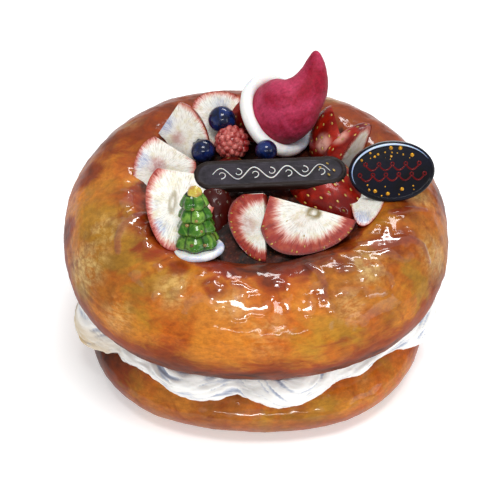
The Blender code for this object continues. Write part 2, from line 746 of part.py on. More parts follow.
def keep_largest(obj):
    """Drop loose scraps that a cut has left, and points that coincide."""
    bm = bmesh.new()
    bm.from_mesh(obj.data)
    bmesh.ops.remove_doubles(bm, verts=bm.verts[:], dist=MERGE)
    bmesh.ops.dissolve_degenerate(bm, edges=bm.edges[:], dist=MERGE)
    left = set(bm.verts)
    pieces = []
    while left:
        piece = {left.pop()}
        edge_of = list(piece)
        while edge_of:
            vert = edge_of.pop()
            for edge in vert.link_edges:
                other = edge.other_vert(vert)
                if other in left:
                    left.remove(other)
                    piece.add(other)
                    edge_of.append(other)
        pieces.append(piece)
    pieces.sort(key=len)
    for piece in pieces[:-1]:
        bmesh.ops.delete(bm, geom=list(piece), context="VERTS")
    bm.to_mesh(obj.data)
    bm.free()


def make_room(obj, cutters):
    """Cut an object back from each neighbour that it would cross."""
    for cutter in cutters:
        if not near(obj, cutter):
            continue
        boolean = obj.modifiers.new("Room", "BOOLEAN")
        boolean.operation = "DIFFERENCE"
        boolean.object = cutter
        settle(obj)
        keep_largest(obj)


def build():
    """Make every piece, then fit the soft ones round the firm ones."""
    clear_scene()
    upper = make_upper_bun()
    make_lower_bun()
    make_cream()
    filling = make_filling()
    band = make_band()
    hat = make_hat()
    bar = make_bar()
    plaque = make_plaque()
    tree = make_tree()
    base = make_tree_base()
    tip = make_tree_tip()
    fruit = [make_blueberry(*row) for row in BLUEBERRIES]
    fruit.append(make_raspberry())
    fruit += [make_strawberry(berry) for berry in BERRIES]
    bpy.context.view_layer.update()

    around_upper = swollen(upper)
    around_tree = swollen(tree)
    around_band = swollen(band)
    around_plaque = swollen(plaque)
    firm = [around_upper, around_band, swollen(hat), swollen(bar), around_plaque,
            around_tree, swollen(base), swollen(tip)]
    make_room(upper, [around_plaque])
    make_room(hat, [around_band])
    make_room(base, [around_upper, around_tree])
    make_room(tip, [around_tree])
    for berry in fruit:
        around_berry = swollen(berry)
        make_room(berry, firm)
        firm.append(around_berry)
        smooth(berry)
    make_room(filling, firm)
    smooth(filling)
    for cutter in firm:
        bpy.data.objects.remove(cutter)


build()
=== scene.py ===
"""Looks of a round Christmas cake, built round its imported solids.

Two glazed buns with whipped cream between them, and cut strawberries,
round berries, a sugar hat, a chocolate bar, an oval plaque and a small
tree on top. Metres, +Z up, the front of the cake at -Y.
"""
import math
import random
from functools import cache
from typing import NamedTuple

import bmesh
import bpy
from bpy.props import FloatProperty, FloatVectorProperty, PointerProperty
from mathutils import Matrix, Vector, kdtree, noise


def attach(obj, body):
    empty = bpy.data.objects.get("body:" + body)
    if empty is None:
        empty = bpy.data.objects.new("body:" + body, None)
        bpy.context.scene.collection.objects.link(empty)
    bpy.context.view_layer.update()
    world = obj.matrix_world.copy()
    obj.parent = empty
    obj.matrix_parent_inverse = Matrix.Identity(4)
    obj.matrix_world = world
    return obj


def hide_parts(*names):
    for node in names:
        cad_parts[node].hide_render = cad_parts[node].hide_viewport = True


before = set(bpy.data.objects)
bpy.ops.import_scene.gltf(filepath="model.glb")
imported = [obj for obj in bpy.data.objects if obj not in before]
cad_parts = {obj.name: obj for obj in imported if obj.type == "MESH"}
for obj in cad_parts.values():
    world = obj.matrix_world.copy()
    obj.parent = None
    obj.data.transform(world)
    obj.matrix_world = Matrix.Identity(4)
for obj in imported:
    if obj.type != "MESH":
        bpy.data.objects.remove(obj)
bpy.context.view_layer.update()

bl_info = {
    "name": "Christmas cake looks",
    "version": (1, 0, 0),
    "blender": (4, 5, 0),
    "location": "3D View > Sidebar > Cake",
    "description": "Dresses the solids of a round Christmas cake",
    "category": "Object",
}

BODY = "root"
MM = 0.001
MERGE = 0.01 * MM
SHADER = "Principled BSDF"
MOTTLE_INPUTS = (("Place", "Vector"), ("First", "Color"), ("Second", "Color"),
                 ("Scale", "Float"), ("Balance", "Float"), ("Flecks", "Float"))
MOTTLE_SOFTNESS = 0.13

# Upper bun, a ring of oval section, as in the solids
UPPER_RADIUS = 90 * MM
CREST_RADIUS = 62 * MM
CREST_HEIGHT = 90 * MM
UPPER_UNDERSIDE = 38.4 * MM
UPPER_HALF_HEIGHT = (CREST_HEIGHT - UPPER_UNDERSIDE) / 2
UPPER_MIDDLE = CREST_HEIGHT - UPPER_HALF_HEIGHT
WELL_LIP_RADIUS = 50 * MM
WELL_FLOOR_RADIUS = 44 * MM
WELL_FLOOR = 64 * MM
INNER_HALF_WIDTH = 22.1 * MM
UPPER_SWELL = 1.1 * MM
# How much wider and higher the bun is in each quarter, in millimetres
UPPER_SPREAD = {"front_right": 4.2, "front_left": 4.0, "back_left": 1.2, "back_right": 0.4}
UPPER_RISE = {"front_right": 0.0, "front_left": 0.0, "back_left": 4.6, "back_right": 2.2}
CREST_SHARE = 0.6
UPPER_COLUMNS = 520
UPPER_ROWS = 118
LIP_ROWS = 22
WELL_ROWS = 7

# Lower bun
LOWER_RADIUS = 83 * MM
LOWER_HEIGHT = 27 * MM
LOWER_WIDEST = 16 * MM
LOWER_TOP_RADIUS = 66 * MM
LOWER_BASE_RADIUS = 63 * MM
LOWER_SWELL = 0.8 * MM
LOWER_SPREAD = {"front_right": 6.0, "front_left": 5.0, "back_left": 4.0, "back_right": 4.0}
LOWER_COLUMNS = 360
LOWER_ROWS = 70

# Whipped cream
CREAM_REACH = 77 * MM
CREAM_TOP_INSET = 5.5 * MM
CREAM_FOOT_INSET = 10 * MM
CREAM_RIDGE = 0.55 * MM
CREAM_GAP = 0.5 * MM
# Lobes of the cream: degrees from the front towards +X, half width in
# degrees, and how far they stand out and droop in millimetres; then a dip
CREAM_LOBES = (
    (-21, 19, 8.0, 0.0), (9, 18, 9.0, 1.5), (68, 22, 12.0, 4.0), (-45, 15, 3.0, 0.5),
    (-66, 20, 13.0, 7.0), (97, 15, 7.5, 0.0), (120, 15, 9.0, 1.5), (147, 18, 7.0, 0.5),
    (176, 17, 9.0, 2.0), (-153, 18, 8.0, 0.5), (-124, 17, 9.5, 1.5), (-100, 14, 7.0, 0.5),
)
CREAM_DIP = (32, 13, 3.5)
CREAM_BULGE_ROWS = 46
CREAM_EDGE_ROWS = 8
CREAM_COLUMNS = 420
CREAM_CORE = 60 * MM

# Filling in the well
FILLING_CROWN = 89.5 * MM
FILLING_EDGE = 80.5 * MM
FILLING_RISE = 0.88
FILLING_ROWS = 60
FILLING_COLUMNS = 200

# The toppings lean back by this much
DISPLAY_LEAN = math.radians(43)

# Strawberries, in millimetres, with directions as (right, up the lean, out).
# A ball's grid is how many columns and rows it has.
BERRY_TAPER = 0.27
BERRY_FULLNESS = 0.9
BERRY_FLUTE = 0.03


class Berry(NamedTuple):
    """A cut strawberry: its place, which way it points and how it is cut."""

    name: str
    centre: tuple
    tip: tuple
    face: tuple
    length: float
    width: float
    second: tuple = ()
    stalk: float = 0.12


BERRIES = (
    Berry("strawberry_c", (-33.6, -23.6, 95.5), (-0.10, -0.83, 0.54), (0.12, 0.50, 0.85), 48, 31),
    Berry("strawberry_b", (-44.0, 6.0, 91), (-0.50, -0.80, 0.05), (0.10, 0.25, 0.95), 32, 28),
    Berry("strawberry_a", (-36.0, 29.0, 93), (0.75, -0.60, 0.10), (-0.35, -0.15, 0.92), 32, 28, (), 0.2),
    Berry("strawberry_d", (-16.6, 38.6, 96), (0.05, -1.0, 0.10), (0.25, 0.15, 0.95), 28, 27, (), 0.0),
    Berry("strawberry_h", (23.2, -30.4, 100.2), (0.94, -0.27, 0.06), (-0.06, 0.0, 0.99), 42, 44,
          (0.27, 0.95, 0.05), 0.07),
    Berry("strawberry_g", (3.6, -34.2, 93), (0.04, -1.0, 0.05), (-0.20, 0.0, 0.97), 31.5, 33,
          (0.97, 0.05, 0.16), 0.05),
    Berry("strawberry_j", (49.8, -15.0, 90.6), (-0.20, -0.70, 0.68), (0.0, 0.70, 0.70), 32, 15),
    Berry("strawberry_i", (34.6, -4.9, 83.7), (0.66, -0.62, 0.42), (0.0, 0.20, -0.98), 40, 31),
    Berry("strawberry_e", (39.8, 29.8, 91.5), (-0.25, 0.95, 0.10), (0.95, 0.30, 0.05), 32, 31),
    Berry("strawberry_f", (45.6, 16.2, 92.5), (0.50, 0.86, 0.08), (0.80, -0.46, 0.36), 32, 25),
    Berry("strawberry_k", (-19.0, -18.0, 85.5), (0.10, -1.0, 0.20), (0.20, 0.60, -0.75), 26, 19),
    Berry("strawberry_l", (2.0, 45.0, 97), (0.25, 0.60, 0.70), (-0.10, 0.80, -0.40), 30, 27),
    Berry("strawberry_m", (24.0, 50.0, 91.5), (0.90, -0.30, 0.10), (0.10, 0.70, 0.10), 30, 25),
    Berry("strawberry_n", (20.0, 8.5, 82.5), (0.95, 0.25, 0.0), (0.0, -0.73, -0.68), 29, 22),
    Berry("strawberry_o", (-14.0, 6.5, 82.5), (-0.80, -0.40, 0.3), (0.1, -0.73, -0.68), 28, 22),
)
BERRY_COLUMNS = 100
BERRY_ROWS = 64
HEART_LIFT = 0.05
SKIN_SHARE = 0.62
SEED_SIZE = (0.48 * MM, 0.28 * MM, 0.85 * MM)
SEED_GRID = (8, 6)
DIMPLE_RADIUS = 1.25 * MM

# Round berries: name, centre, radius in millimetres and where the crown points
BLUEBERRIES = (
    ("blueberry_1", (-16.0, 33.0, 100.2), 6.6, (0.2, 0.95, 0.2)),
    ("blueberry_2", (-24.8, 20.4, 91.3), 5.8, (-0.5, 0.75, 0.4)),
    ("blueberry_3", (4.8, 13.9, 96.6), 5.2, (0.1, 0.95, 0.3)),
    ("blueberry_4", (-31.5, 44.5, 91.5), 6.0, (-0.3, 0.9, 0.3)),
)
BLUEBERRY_GRID = (72, 48)
RASPBERRY_CENTRE = (-11.2, 22.9, 94.2)
RASPBERRY_RADIUS = 8.4 * MM
DRUPELETS = 74

# Sugar hat and its band
HAT_CENTRE = (10.0, 35.0, 101.2)
HAT_AXIS = Vector((0.60, -0.33, 0.73)).normalized()
BAND_RADIUS = 18 * MM
BAND_THICKNESS = 3.0 * MM
HAT_TIP = (27.7, 42.5, 132.4)
HAT_BASE_RADIUS = 15.4 * MM
HAT_BULGE = 17.5 * MM
HAT_POINT_RADIUS = 5.0 * MM
HAT_FOOT_RUN = 20.7 * MM
HAT_TIP_RUN = 20.2 * MM
HAT_COLUMNS = 120
HAT_ROWS = 110
HAT_FOOT_ROWS = 14

# Chocolate bar and oval plaque: length, width and thickness
BAR_CENTRE = (6.4, -4.4, 97.2)
BAR_SIZE = (69.5 * MM, 15.8 * MM, 4.6 * MM)
BAR_SUNK = 0.45 * MM
BAR_RIM = 2.0 * MM
BAR_COLUMNS = 200
BAR_TURN = 0.07
BAR_PITCH = math.radians(15)
SCROLL_ENDS = (-26 * MM, 27 * MM)
SCROLL_WAVE = 15 * MM
SCROLL_SWING = 3.1 * MM
SCROLL_STEPS = 150
CURL_STEPS = 39
PLAQUE_CENTRE = (60.6, -8.0, 102.0)
PLAQUE_SIZE = (38.5 * MM, 27.5 * MM, 3.8 * MM)
PLAQUE_SUNK = 0.28 * MM
PLAQUE_RIM = 1.3 * MM
PLAQUE_DOME = 0.3 * MM
PLAQUE_COLUMNS = 144
# Where the plaque's edge line runs, in shares of its length and width; the line is a painted highlight
# on the rim
EDGE_LINE = (0.468, 0.458)
PLAQUE_LEAN = math.radians(62)
PLAQUE_TURN = math.radians(3)
# Piped swags on the plaque: height over its middle, width and how many
GARLANDS = ((2.2 * MM, 24 * MM, 4), (-2.6 * MM, 29 * MM, 5))
LOOP_RADIUS = 0.75 * MM
GOLD_DOTS = 26
DOT_GRID = (12, 8)

# Tree, with each tier's hem height and widest radius in millimetres
TREE_FOOT = (-25.3, -42.6, 88.9)
TREE_AXIS = Vector((-0.06, 0.30, 0.95)).normalized()
TREE_HEIGHT = 25 * MM
TREE_TIERS = ((0.4, 9.4), (7.2, 8.4), (13.0, 7.3), (18.3, 6.0))
TREE_LOBE = 0.09
TIER_ROWS = 15
TREE_COLUMNS = 120
# Pearls on the tree: sideways, height and distance from its middle
TREE_PEARLS = ((-0.5, 19.4, 5.3), (2.4, 9.7, 7.6), (-1.9, 4.2, 9.0), (0.9, 14.6, 7.0),
               (3.6, 3.4, 8.6), (-3.4, 12.2, 6.4), (2.2, 20.0, 5.0))
PEARL_GRID = (14, 10)
TREE_BASE_RADIUS = 11.4 * MM
TREE_BASE_THICKNESS = 3.2 * MM
TREE_BASE_COLUMNS = 96
TREE_TIP_RADIUS = 3.1 * MM
TREE_TIP_GRID = (60, 36)

# How far the floor reaches each way, in metres
FLOOR_REACH = 3.0

# Camera: looks down on the front of the cake
CAMERA_LENS = 85
CAMERA_LIFT = math.radians(43)
CAMERA_TARGET = Vector((-2.7, 0.0, 46.5)) * MM
CAMERA_DISTANCE = 571.5 * MM
# Soft boxes: name, place and size in metres; their powers are among the looks
LIGHTS = (
    ("key", (0.07, -0.30, 1.05), (0.40, 0.22)), ("side", (0.80, -0.55, 0.34), (0.5, 0.4)),
    ("strip", (0.05, -0.95, 0.62), (0.55, 0.035)), ("glint", (0.22, 0.60, 0.74), (0.42, 0.09)),
)
LIGHT_TARGET = Vector((0.0, 0.0, 0.06))


def tone(red, green, blue):
    """A colour given as screen values from 0 to 255, in linear light."""
    linear = []
    for value in (red, green, blue):
        share = value / 255
        linear.append(share / 12.92 if share <= 0.04045 else ((share + 0.055) / 1.055) ** 2.4)
    return tuple(linear)


def four(colour):
    """A colour with full alpha."""
    return (*tuple(colour)[:3], 1.0)


def point(values):
    """A place given in millimetres, in metres."""
    return Vector(values) * MM


def clamp(value, low=0.0, high=1.0):
    """A value kept between two limits."""
    return max(low, min(high, value))


def ease(low, high, value):
    """Zero below low, one above high and smooth between."""
    share = clamp((value - low) / (high - low))
    return share * share * (3 - 2 * share)


def rough(place, size, octaves=3):
    """Smooth random values from about -1 to 1, with lumps of a size."""
    return noise.fractal(place / size, 1.0, 2.0, octaves)


def between(first, second, share):
    """The value at a share of the way from one value to another."""
    return first + (second - first) * share


def round_place(angle, radius, height):
    """A point from its angle, radius and height."""
    return Vector((radius * math.cos(angle), radius * math.sin(angle), height))


def turn_of(place):
    """The angle of a place round Z."""
    return math.atan2(place.y, place.x)


def share_down(place):
    """How far down a ball of radius one a place is, from zero to one."""
    return math.acos(clamp(place.z, -1.0, 1.0)) / math.pi


def leaned(direction):
    """A direction (right, up the lean, out of it) in world axes."""
    right, up, out = direction
    rise = math.cos(DISPLAY_LEAN)
    run = math.sin(DISPLAY_LEAN)
    return Vector((right, up * run - out * rise, up * rise + out * run)).normalized()


def facing(tip, face):
    """Axes with Z along tip and X as near to face as it can be."""
    z_axis = Vector(tip).normalized()
    x_axis = Vector(face)
    x_axis = (x_axis - z_axis * x_axis.dot(z_axis)).normalized()
    y_axis = z_axis.cross(x_axis)
    return Matrix((x_axis, y_axis, z_axis)).transposed().to_4x4()


# Shapes shared with the solids


def in_quarter(amounts, angle):
    """An amount in metres that peaks in the middle of each quarter."""
    side = "right" if math.cos(angle) >= 0 else "left"
    end = "back" if math.sin(angle) >= 0 else "front"
    return amounts[end + "_" + side] * MM * math.sin(2 * angle) ** 2


def crest_radius(angle):
    """Radius of the upper bun's crest at an angle."""
    return CREST_RADIUS + CREST_SHARE * in_quarter(UPPER_SPREAD, angle)


def outer_half_width(angle):
    """Width of the upper bun's section outside its crest."""
    return UPPER_RADIUS + in_quarter(UPPER_SPREAD, angle) - crest_radius(angle)


def upper_point(angle, slope, out=0.0):
    """A point (radius, height) of the upper bun's oval section."""
    crest = crest_radius(angle)
    half_width = outer_half_width(angle)
    if math.cos(slope) < 0:
        half_width = INNER_HALF_WIDTH + crest - CREST_RADIUS
    half_height = UPPER_HALF_HEIGHT
    if math.sin(slope) > 0:
        half_height += in_quarter(UPPER_RISE, angle)
    swell = 0.55 * math.sin(2 * angle + 0.6) + 0.3 * math.sin(3 * angle + 2.1 + slope)
    swell += 0.25 * math.sin(7 * angle - 1.1 + 2 * slope)
    keep = max(0.0, math.cos(slope)) ** 2 * math.cos(2 * angle) ** 2
    fade = max(0.0, math.sin((slope + math.pi / 2) / 1.22 - 0.55))
    away = UPPER_SWELL * swell * (1 - keep) * min(1.0, fade) + out
    radius = crest + (half_width + away) * math.cos(slope)
    return radius, UPPER_MIDDLE + (half_height + away) * math.sin(slope)


def lower_point(angle, slope, out=0.0):
    """A point (radius, height) of the lower bun's round edge."""
    if slope >= 0:
        flat, half_height = LOWER_TOP_RADIUS, LOWER_HEIGHT - LOWER_WIDEST
    else:
        flat, half_height = LOWER_BASE_RADIUS, LOWER_WIDEST
    swell = 0.6 * math.sin(3 * angle + 0.4) + 0.4 * math.sin(5 * angle + 1.9)
    away = LOWER_SWELL * swell * max(0.0, math.cos(slope)) ** 2 + out
    radius = flat + (LOWER_RADIUS - flat + away) * math.cos(slope)
    radius += in_quarter(LOWER_SPREAD, angle)
    return radius, LOWER_WIDEST + (half_height + out) * math.sin(slope)


def hump(angle, centre, half_width):
    """A smooth bump of height one round the cake, in degrees."""
    away = (angle - centre + 180) % 360 - 180
    if abs(away) > half_width:
        return 0.0
    return math.cos(math.pi / 2 * away / half_width) ** 2


def cream_edge(angle):
    """How far the cream reaches out, and how far it droops, at an angle."""
    degrees = math.degrees(angle) + 90
    plain = CREAM_REACH + in_quarter(UPPER_SPREAD, angle)
    reach = plain - CREAM_DIP[2] * MM * hump(degrees, CREAM_DIP[0], CREAM_DIP[1])
    droop = 0.0
    for centre, half_width, push, sag in CREAM_LOBES:
        size = hump(degrees, centre, half_width)
        reach = max(reach, plain + push * MM * size ** 0.7)
        droop += sag * MM * size
    return reach, droop


def berry_radius(berry, angle, down):
    """A strawberry's radius: a cone with a round tip and round shoulders."""
    along = math.cos(math.pi * down)
    around = math.sin(math.pi * down) ** BERRY_FULLNESS
    radius = berry.width / 2 * MM * around * (1 - BERRY_TAPER * along)
    return radius * (1 - BERRY_FLUTE + BERRY_FLUTE * math.sin(3 * angle + berry.length))


def hat_spine(share):
    """A point on the hat's bent middle line, from base to tip."""
    base = point(HAT_CENTRE)
    tip = point(HAT_TIP)
    first = base + HAT_AXIS * HAT_FOOT_RUN
    second = tip - Vector((-0.03, 0.09, 1.0)) * HAT_TIP_RUN
    rest = 1 - share
    return (base * rest ** 3 + first * 3 * rest ** 2 * share
            + second * 3 * rest * share ** 2 + tip * share ** 3)


def tree_frame():
    """Where the tree stands and how it leans."""
    return Matrix.Translation(point(TREE_FOOT)) @ facing(TREE_AXIS, (1, 0, 0))


# Making and keeping meshes


def finish_piece(obj, nodes=()):
    """Fix the piece to the cake and hide the solids it stands for."""
    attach(obj, BODY)
    if nodes:
        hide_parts(*nodes)


def new_object(name, data):
    """An object in the scene that shows a mesh, curve, light or camera."""
    obj = bpy.data.objects.new(name, data)
    bpy.context.scene.collection.objects.link(obj)
    return obj


def mesh_object(name, bm, materials, sharp=40):
    """Turn a bmesh into a smooth object with its materials."""
    for face in bm.faces:
        face.smooth = True
    mesh = bpy.data.meshes.new(name)
    bm.to_mesh(mesh)
    bm.free()
    mesh.set_sharp_from_angle(angle=math.radians(sharp))
    for material in materials:
        mesh.materials.append(material)
    return new_object(name, mesh)


def spin_round(bm, outline, steps):
    """Turn an outline once round Z and close the shell."""
    bmesh.ops.spin(bm, geom=outline, cent=(0, 0, 0), axis=(0, 0, 1), dvec=(0, 0, 0),
                   angle=2 * math.pi, steps=steps, use_merge=True, use_duplicate=False)
    bmesh.ops.remove_doubles(bm, verts=bm.verts[:], dist=MERGE)
    bmesh.ops.recalc_face_normals(bm, faces=bm.faces[:])


def spun(profile, steps):
    """A closed profile of (radius, height) turned round Z; rows are numbered."""
    bm = bmesh.new()
    row = bm.verts.layers.int.new("row")
    verts = []
    for number, (radius, height) in enumerate(profile):
        vert = bm.verts.new((radius, 0.0, height))
        vert[row] = number
        verts.append(vert)
    edges = [bm.edges.new(pair) for pair in zip(verts, verts[1:])]
    spin_round(bm, verts + edges, steps)
    return bm


def unit_ball(columns, rows):
    """A ball of radius one."""
    bm = bmesh.new()
    bmesh.ops.create_uvsphere(bm, u_segments=columns, v_segments=rows, radius=1.0)
    return bm


def ball(columns, rows, rule):
    """A ball whose points are moved by rule(angle, share of the way down)."""
    bm = unit_ball(columns, rows)
    for vert in bm.verts:
        vert.co = rule(turn_of(vert.co), share_down(vert.co))
    return bm


def add_ball(bm, columns, rows, place):
    """Add a small ball, stretched and placed by a matrix."""
    return bmesh.ops.create_uvsphere(bm, u_segments=columns, v_segments=rows, radius=1.0,
                                     matrix=place)["verts"]


def number_layers(bm, names):
    """Layers that hold a number on every point, by name."""
    return {name: bm.verts.layers.float.new(name) for name in names}


def roughen(bm, amount):
    """Move every point along its normal by amount(point)."""
    bm.normal_update()
    moves = [(vert, vert.normal * amount(vert)) for vert in bm.verts]
    for vert, move in moves:
        vert.co += move


def evenly(start, end, count):
    """Evenly spread values from start to end, both included."""
    return [start + (end - start) * i / count for i in range(count + 1)]


def piped(name, lines, radius, place, material):
    """Piped lines: each is a list of (x, y, z, thickness share)."""
    curve = bpy.data.curves.new(name, "CURVE")
    curve.dimensions = "3D"
    curve.bevel_depth = radius
    curve.bevel_resolution = 2
    curve.use_fill_caps = True
    for line in lines:
        spline = curve.splines.new("POLY")
        spline.points.add(len(line) - 1)
        for knot, (x, y, z, thickness) in zip(spline.points, line):
            knot.co = (x, y, z, 1.0)
            knot.radius = thickness
    draft = new_object(name + "_draft", curve)
    bpy.context.view_layer.update()
    shown = draft.evaluated_get(bpy.context.evaluated_depsgraph_get())
    mesh = bpy.data.meshes.new_from_object(shown)
    bpy.data.objects.remove(draft)
    bpy.data.curves.remove(curve)
    bm = bmesh.new()
    bm.from_mesh(mesh)
    bpy.data.meshes.remove(mesh)
    bmesh.ops.remove_doubles(bm, verts=bm.verts[:], dist=MERGE)
    bm.transform(place)
    return mesh_object(name, bm, [material], 60)


# Shader building


def join(tree, value, socket):
    """Link a socket to a socket, or set the socket's value."""
    if isinstance(value, bpy.types.NodeSocket):
        tree.links.new(value, socket)
    elif socket.type == "RGBA":
        socket.default_value = four(value)
    else:
        socket.default_value = value


def shade(tree, kind, settings=None, **inputs):
    """Add a node; its inputs are sockets to join or values to set."""
    node = tree.nodes.new("ShaderNode" + kind)
    for key, value in (settings or {}).items():
        setattr(node, key, value)
    for key, value in inputs.items():
        join(tree, value, node.inputs[key.replace("_", " ")])
    return node


def blend(tree, factor, first, second, how="MIX"):
    """Mix two colours by a factor."""
    node = shade(tree, "Mix", {"data_type": "RGBA", "blend_type": how})
    join(tree, factor, node.inputs[0])
    join(tree, first, node.inputs[6])
    join(tree, second, node.inputs[7])
    return node.outputs[2]


def calc(tree, how, first, second):
    """One step of arithmetic."""
    node = shade(tree, "Math", {"operation": how})
    join(tree, first, node.inputs[0])
    join(tree, second, node.inputs[1])
    return node.outputs[0]


def plus(tree, first, second):
    """The sum of two values."""
    return calc(tree, "ADD", first, second)


def times(tree, first, second):
    """The product of two values."""
    return calc(tree, "MULTIPLY", first, second)


def swing(tree, value, amount):
    """Random values brought about zero, and scaled."""
    return times(tree, calc(tree, "SUBTRACT", value, 0.5), amount)


def spread(tree, value, low, high, to_low=0.0, to_high=1.0):
    """Stretch values between two limits smoothly over another range."""
    node = shade(tree, "MapRange", {"interpolation_type": "SMOOTHSTEP"}, Value=value,
                 From_Min=low, From_Max=high, To_Min=to_low, To_Max=to_high)
    return node.outputs["Result"]


def cloud(tree, place, scale, detail=4.0, roughness=0.55, twist=0.0):
    """Soft random values about 0.5."""
    node = shade(tree, "TexNoise", Vector=place, Scale=scale, Detail=detail,
                 Roughness=roughness, Distortion=twist)
    return node.outputs["Fac"]


def stretched(tree, place, scale):
    """Stretch a pattern's coordinates by three numbers."""
    return shade(tree, "Mapping", Vector=place, Scale=scale).outputs["Vector"]


def stored(tree, name):
    """What a layer of the piece's own points holds."""
    return shade(tree, "Attribute", {"attribute_name": name, "attribute_type": "GEOMETRY"})


def mask(tree, name):
    """A number painted on the piece's own points."""
    return stored(tree, name).outputs["Fac"]


def brightened(tree, colour, amount):
    """A colour made lighter or darker by a value that changes over it."""
    grey = shade(tree, "CombineColor", Red=amount, Green=amount, Blue=amount)
    return blend(tree, 1.0, colour, grey.outputs["Color"], "MULTIPLY")


def new_material(name, roughness, **values):
    """A material with its uniform values, its node tree and the point's place."""
    material = bpy.data.materials.new(name)
    material.use_nodes = True
    tree = material.node_tree
    for key, value in {"Roughness": roughness, **values}.items():
        join(tree, value, tree.nodes[SHADER].inputs[key.replace("_", " ")])
    return material, tree, shade(tree, "TexCoord").outputs["Object"]


def feed(tree, name, value):
    """Lead a value that changes over the surface into the shader."""
    tree.links.new(value, tree.nodes[SHADER].inputs[name])


def raise_surface(tree, height, millimetres, strength):
    """Fine relief from a height."""
    bump = shade(tree, "Bump", Height=height, Strength=strength, Distance=millimetres * MM)
    feed(tree, "Normal", bump.outputs["Normal"])


def mottle_group():
    """Two tones in soft patches with fine flecks, as baked food has; made once."""
    found = bpy.data.node_groups.get("Mottle")
    if found:
        return found
    tree = bpy.data.node_groups.new("Mottle", "ShaderNodeTree")
    for label, kind in MOTTLE_INPUTS:
        tree.interface.new_socket(name=label, in_out="INPUT", socket_type="NodeSocket" + kind)
    tree.interface.new_socket(name="Color", in_out="OUTPUT", socket_type="NodeSocketColor")
    given = tree.nodes.new("NodeGroupInput").outputs
    patches = cloud(tree, given["Place"], given["Scale"], 5.0, 0.62, 0.6)
    low = calc(tree, "SUBTRACT", given["Balance"], MOTTLE_SOFTNESS)
    share = spread(tree, patches, low, plus(tree, given["Balance"], MOTTLE_SOFTNESS))
    colour = blend(tree, share, given["First"], given["Second"])
    fine = cloud(tree, given["Place"], times(tree, given["Scale"], 14.0), 3.0, 0.7)
    flecks = times(tree, swing(tree, fine, given["Flecks"]), 4.0)
    end = tree.nodes.new("NodeGroupOutput")
    tree.links.new(brightened(tree, colour, plus(tree, 1.0, flecks)), end.inputs["Color"])
    return tree


def mottled(tree, place, first, second, scale, balance, flecks):
    """The Mottle group's colour, with a material's own values."""
    node = tree.nodes.new("ShaderNodeGroup")
    node.node_tree = mottle_group()
    values = (place, first, second, scale, balance, flecks)
    for (label, _), value in zip(MOTTLE_INPUTS, values):
        join(tree, value, node.inputs[label])
    return node.outputs["Color"]


# Materials


def crust_material(name, looks):
    """Glazed crust: mottled gold, olive and orange, toasted in places, with painted shade and painted
    highlights mixed into its colour.
    """
    material, tree, place = new_material(
        name, 0.5, Coat_Roughness=looks.glaze_roughness, Coat_IOR=1.8, Specular_IOR_Level=0.1)
    streaks = cloud(tree, stretched(tree, place, (1.0, 1.0, 2.6)), 75.0, 6.0, 0.70, 1.2)
    scratch = cloud(tree, stretched(tree, place, (1.0, 1.0, 2.4)), 300.0, 4.0, 0.72)
    colour = mottled(tree, place, looks.crust_gold, looks.crust_orange, 34.0, 0.5, 0.14)
    olive = spread(tree, cloud(tree, place, 27.0, 4.0, 0.6, 0.8), 0.48, 0.66)
    colour = blend(tree, olive, colour, looks.crust_olive)
    brown = spread(tree, cloud(tree, place, 62.0, 8.0, 0.72, 0.5), 0.51, 0.68, 0.0, 0.8)
    colour = blend(tree, brown, colour, looks.crust_brown)
    # Toasting and painted shade together darken the crust, first to brown and then to near black
    toast = plus(tree, mask(tree, "toast"), swing(tree, streaks, 0.9))
    toast = plus(tree, toast, swing(tree, scratch, 0.25))
    colour = blend(tree, spread(tree, toast, 0.20, 0.60), colour, looks.crust_brown)
    colour = blend(tree, spread(tree, toast, 0.58, 1.0), colour, looks.crust_dark)
    # Pale buttery patches; on the upper bun they are also painted highlights
    pale = times(tree, mask(tree, "pale"), spread(tree, streaks, 0.34, 0.60))
    pale = times(tree, pale, spread(tree, scratch, 0.35, 0.62, 0.45, 1.0))
    colour = blend(tree, pale, colour, looks.crust_pale_and_highlight)
    red = times(tree, mask(tree, "juice"), spread(tree, streaks, 0.20, 0.55, 0.4, 1.0))
    colour = blend(tree, red, colour, looks.juice_red)
    broad = spread(tree, cloud(tree, place, 19.0, 4.0, 0.6, 0.6), 0.36, 0.62, 0.66, 1.08)
    grain = times(tree, broad, spread(tree, scratch, 0.30, 0.70, 0.80, 1.16))
    feed(tree, "Base Color", brightened(tree, colour, grain))
    gloss = times(tree, mask(tree, "glaze"), spread(tree, streaks, 0.25, 0.55, 0.5, 1.0))
    wet = spread(tree, plus(tree, mask(tree, "wet"), swing(tree, scratch, 0.10)), 0.10, 0.15)
    feed(tree, "Coat Weight", calc(tree, "MAXIMUM", gloss, wet))
    dents = cloud(tree, place, 260.0, 2.0, 0.5)
    height = plus(tree, times(tree, dents, 0.7), times(tree, scratch, 0.3))
    raise_surface(tree, height, 0.35, 0.4)
    return material


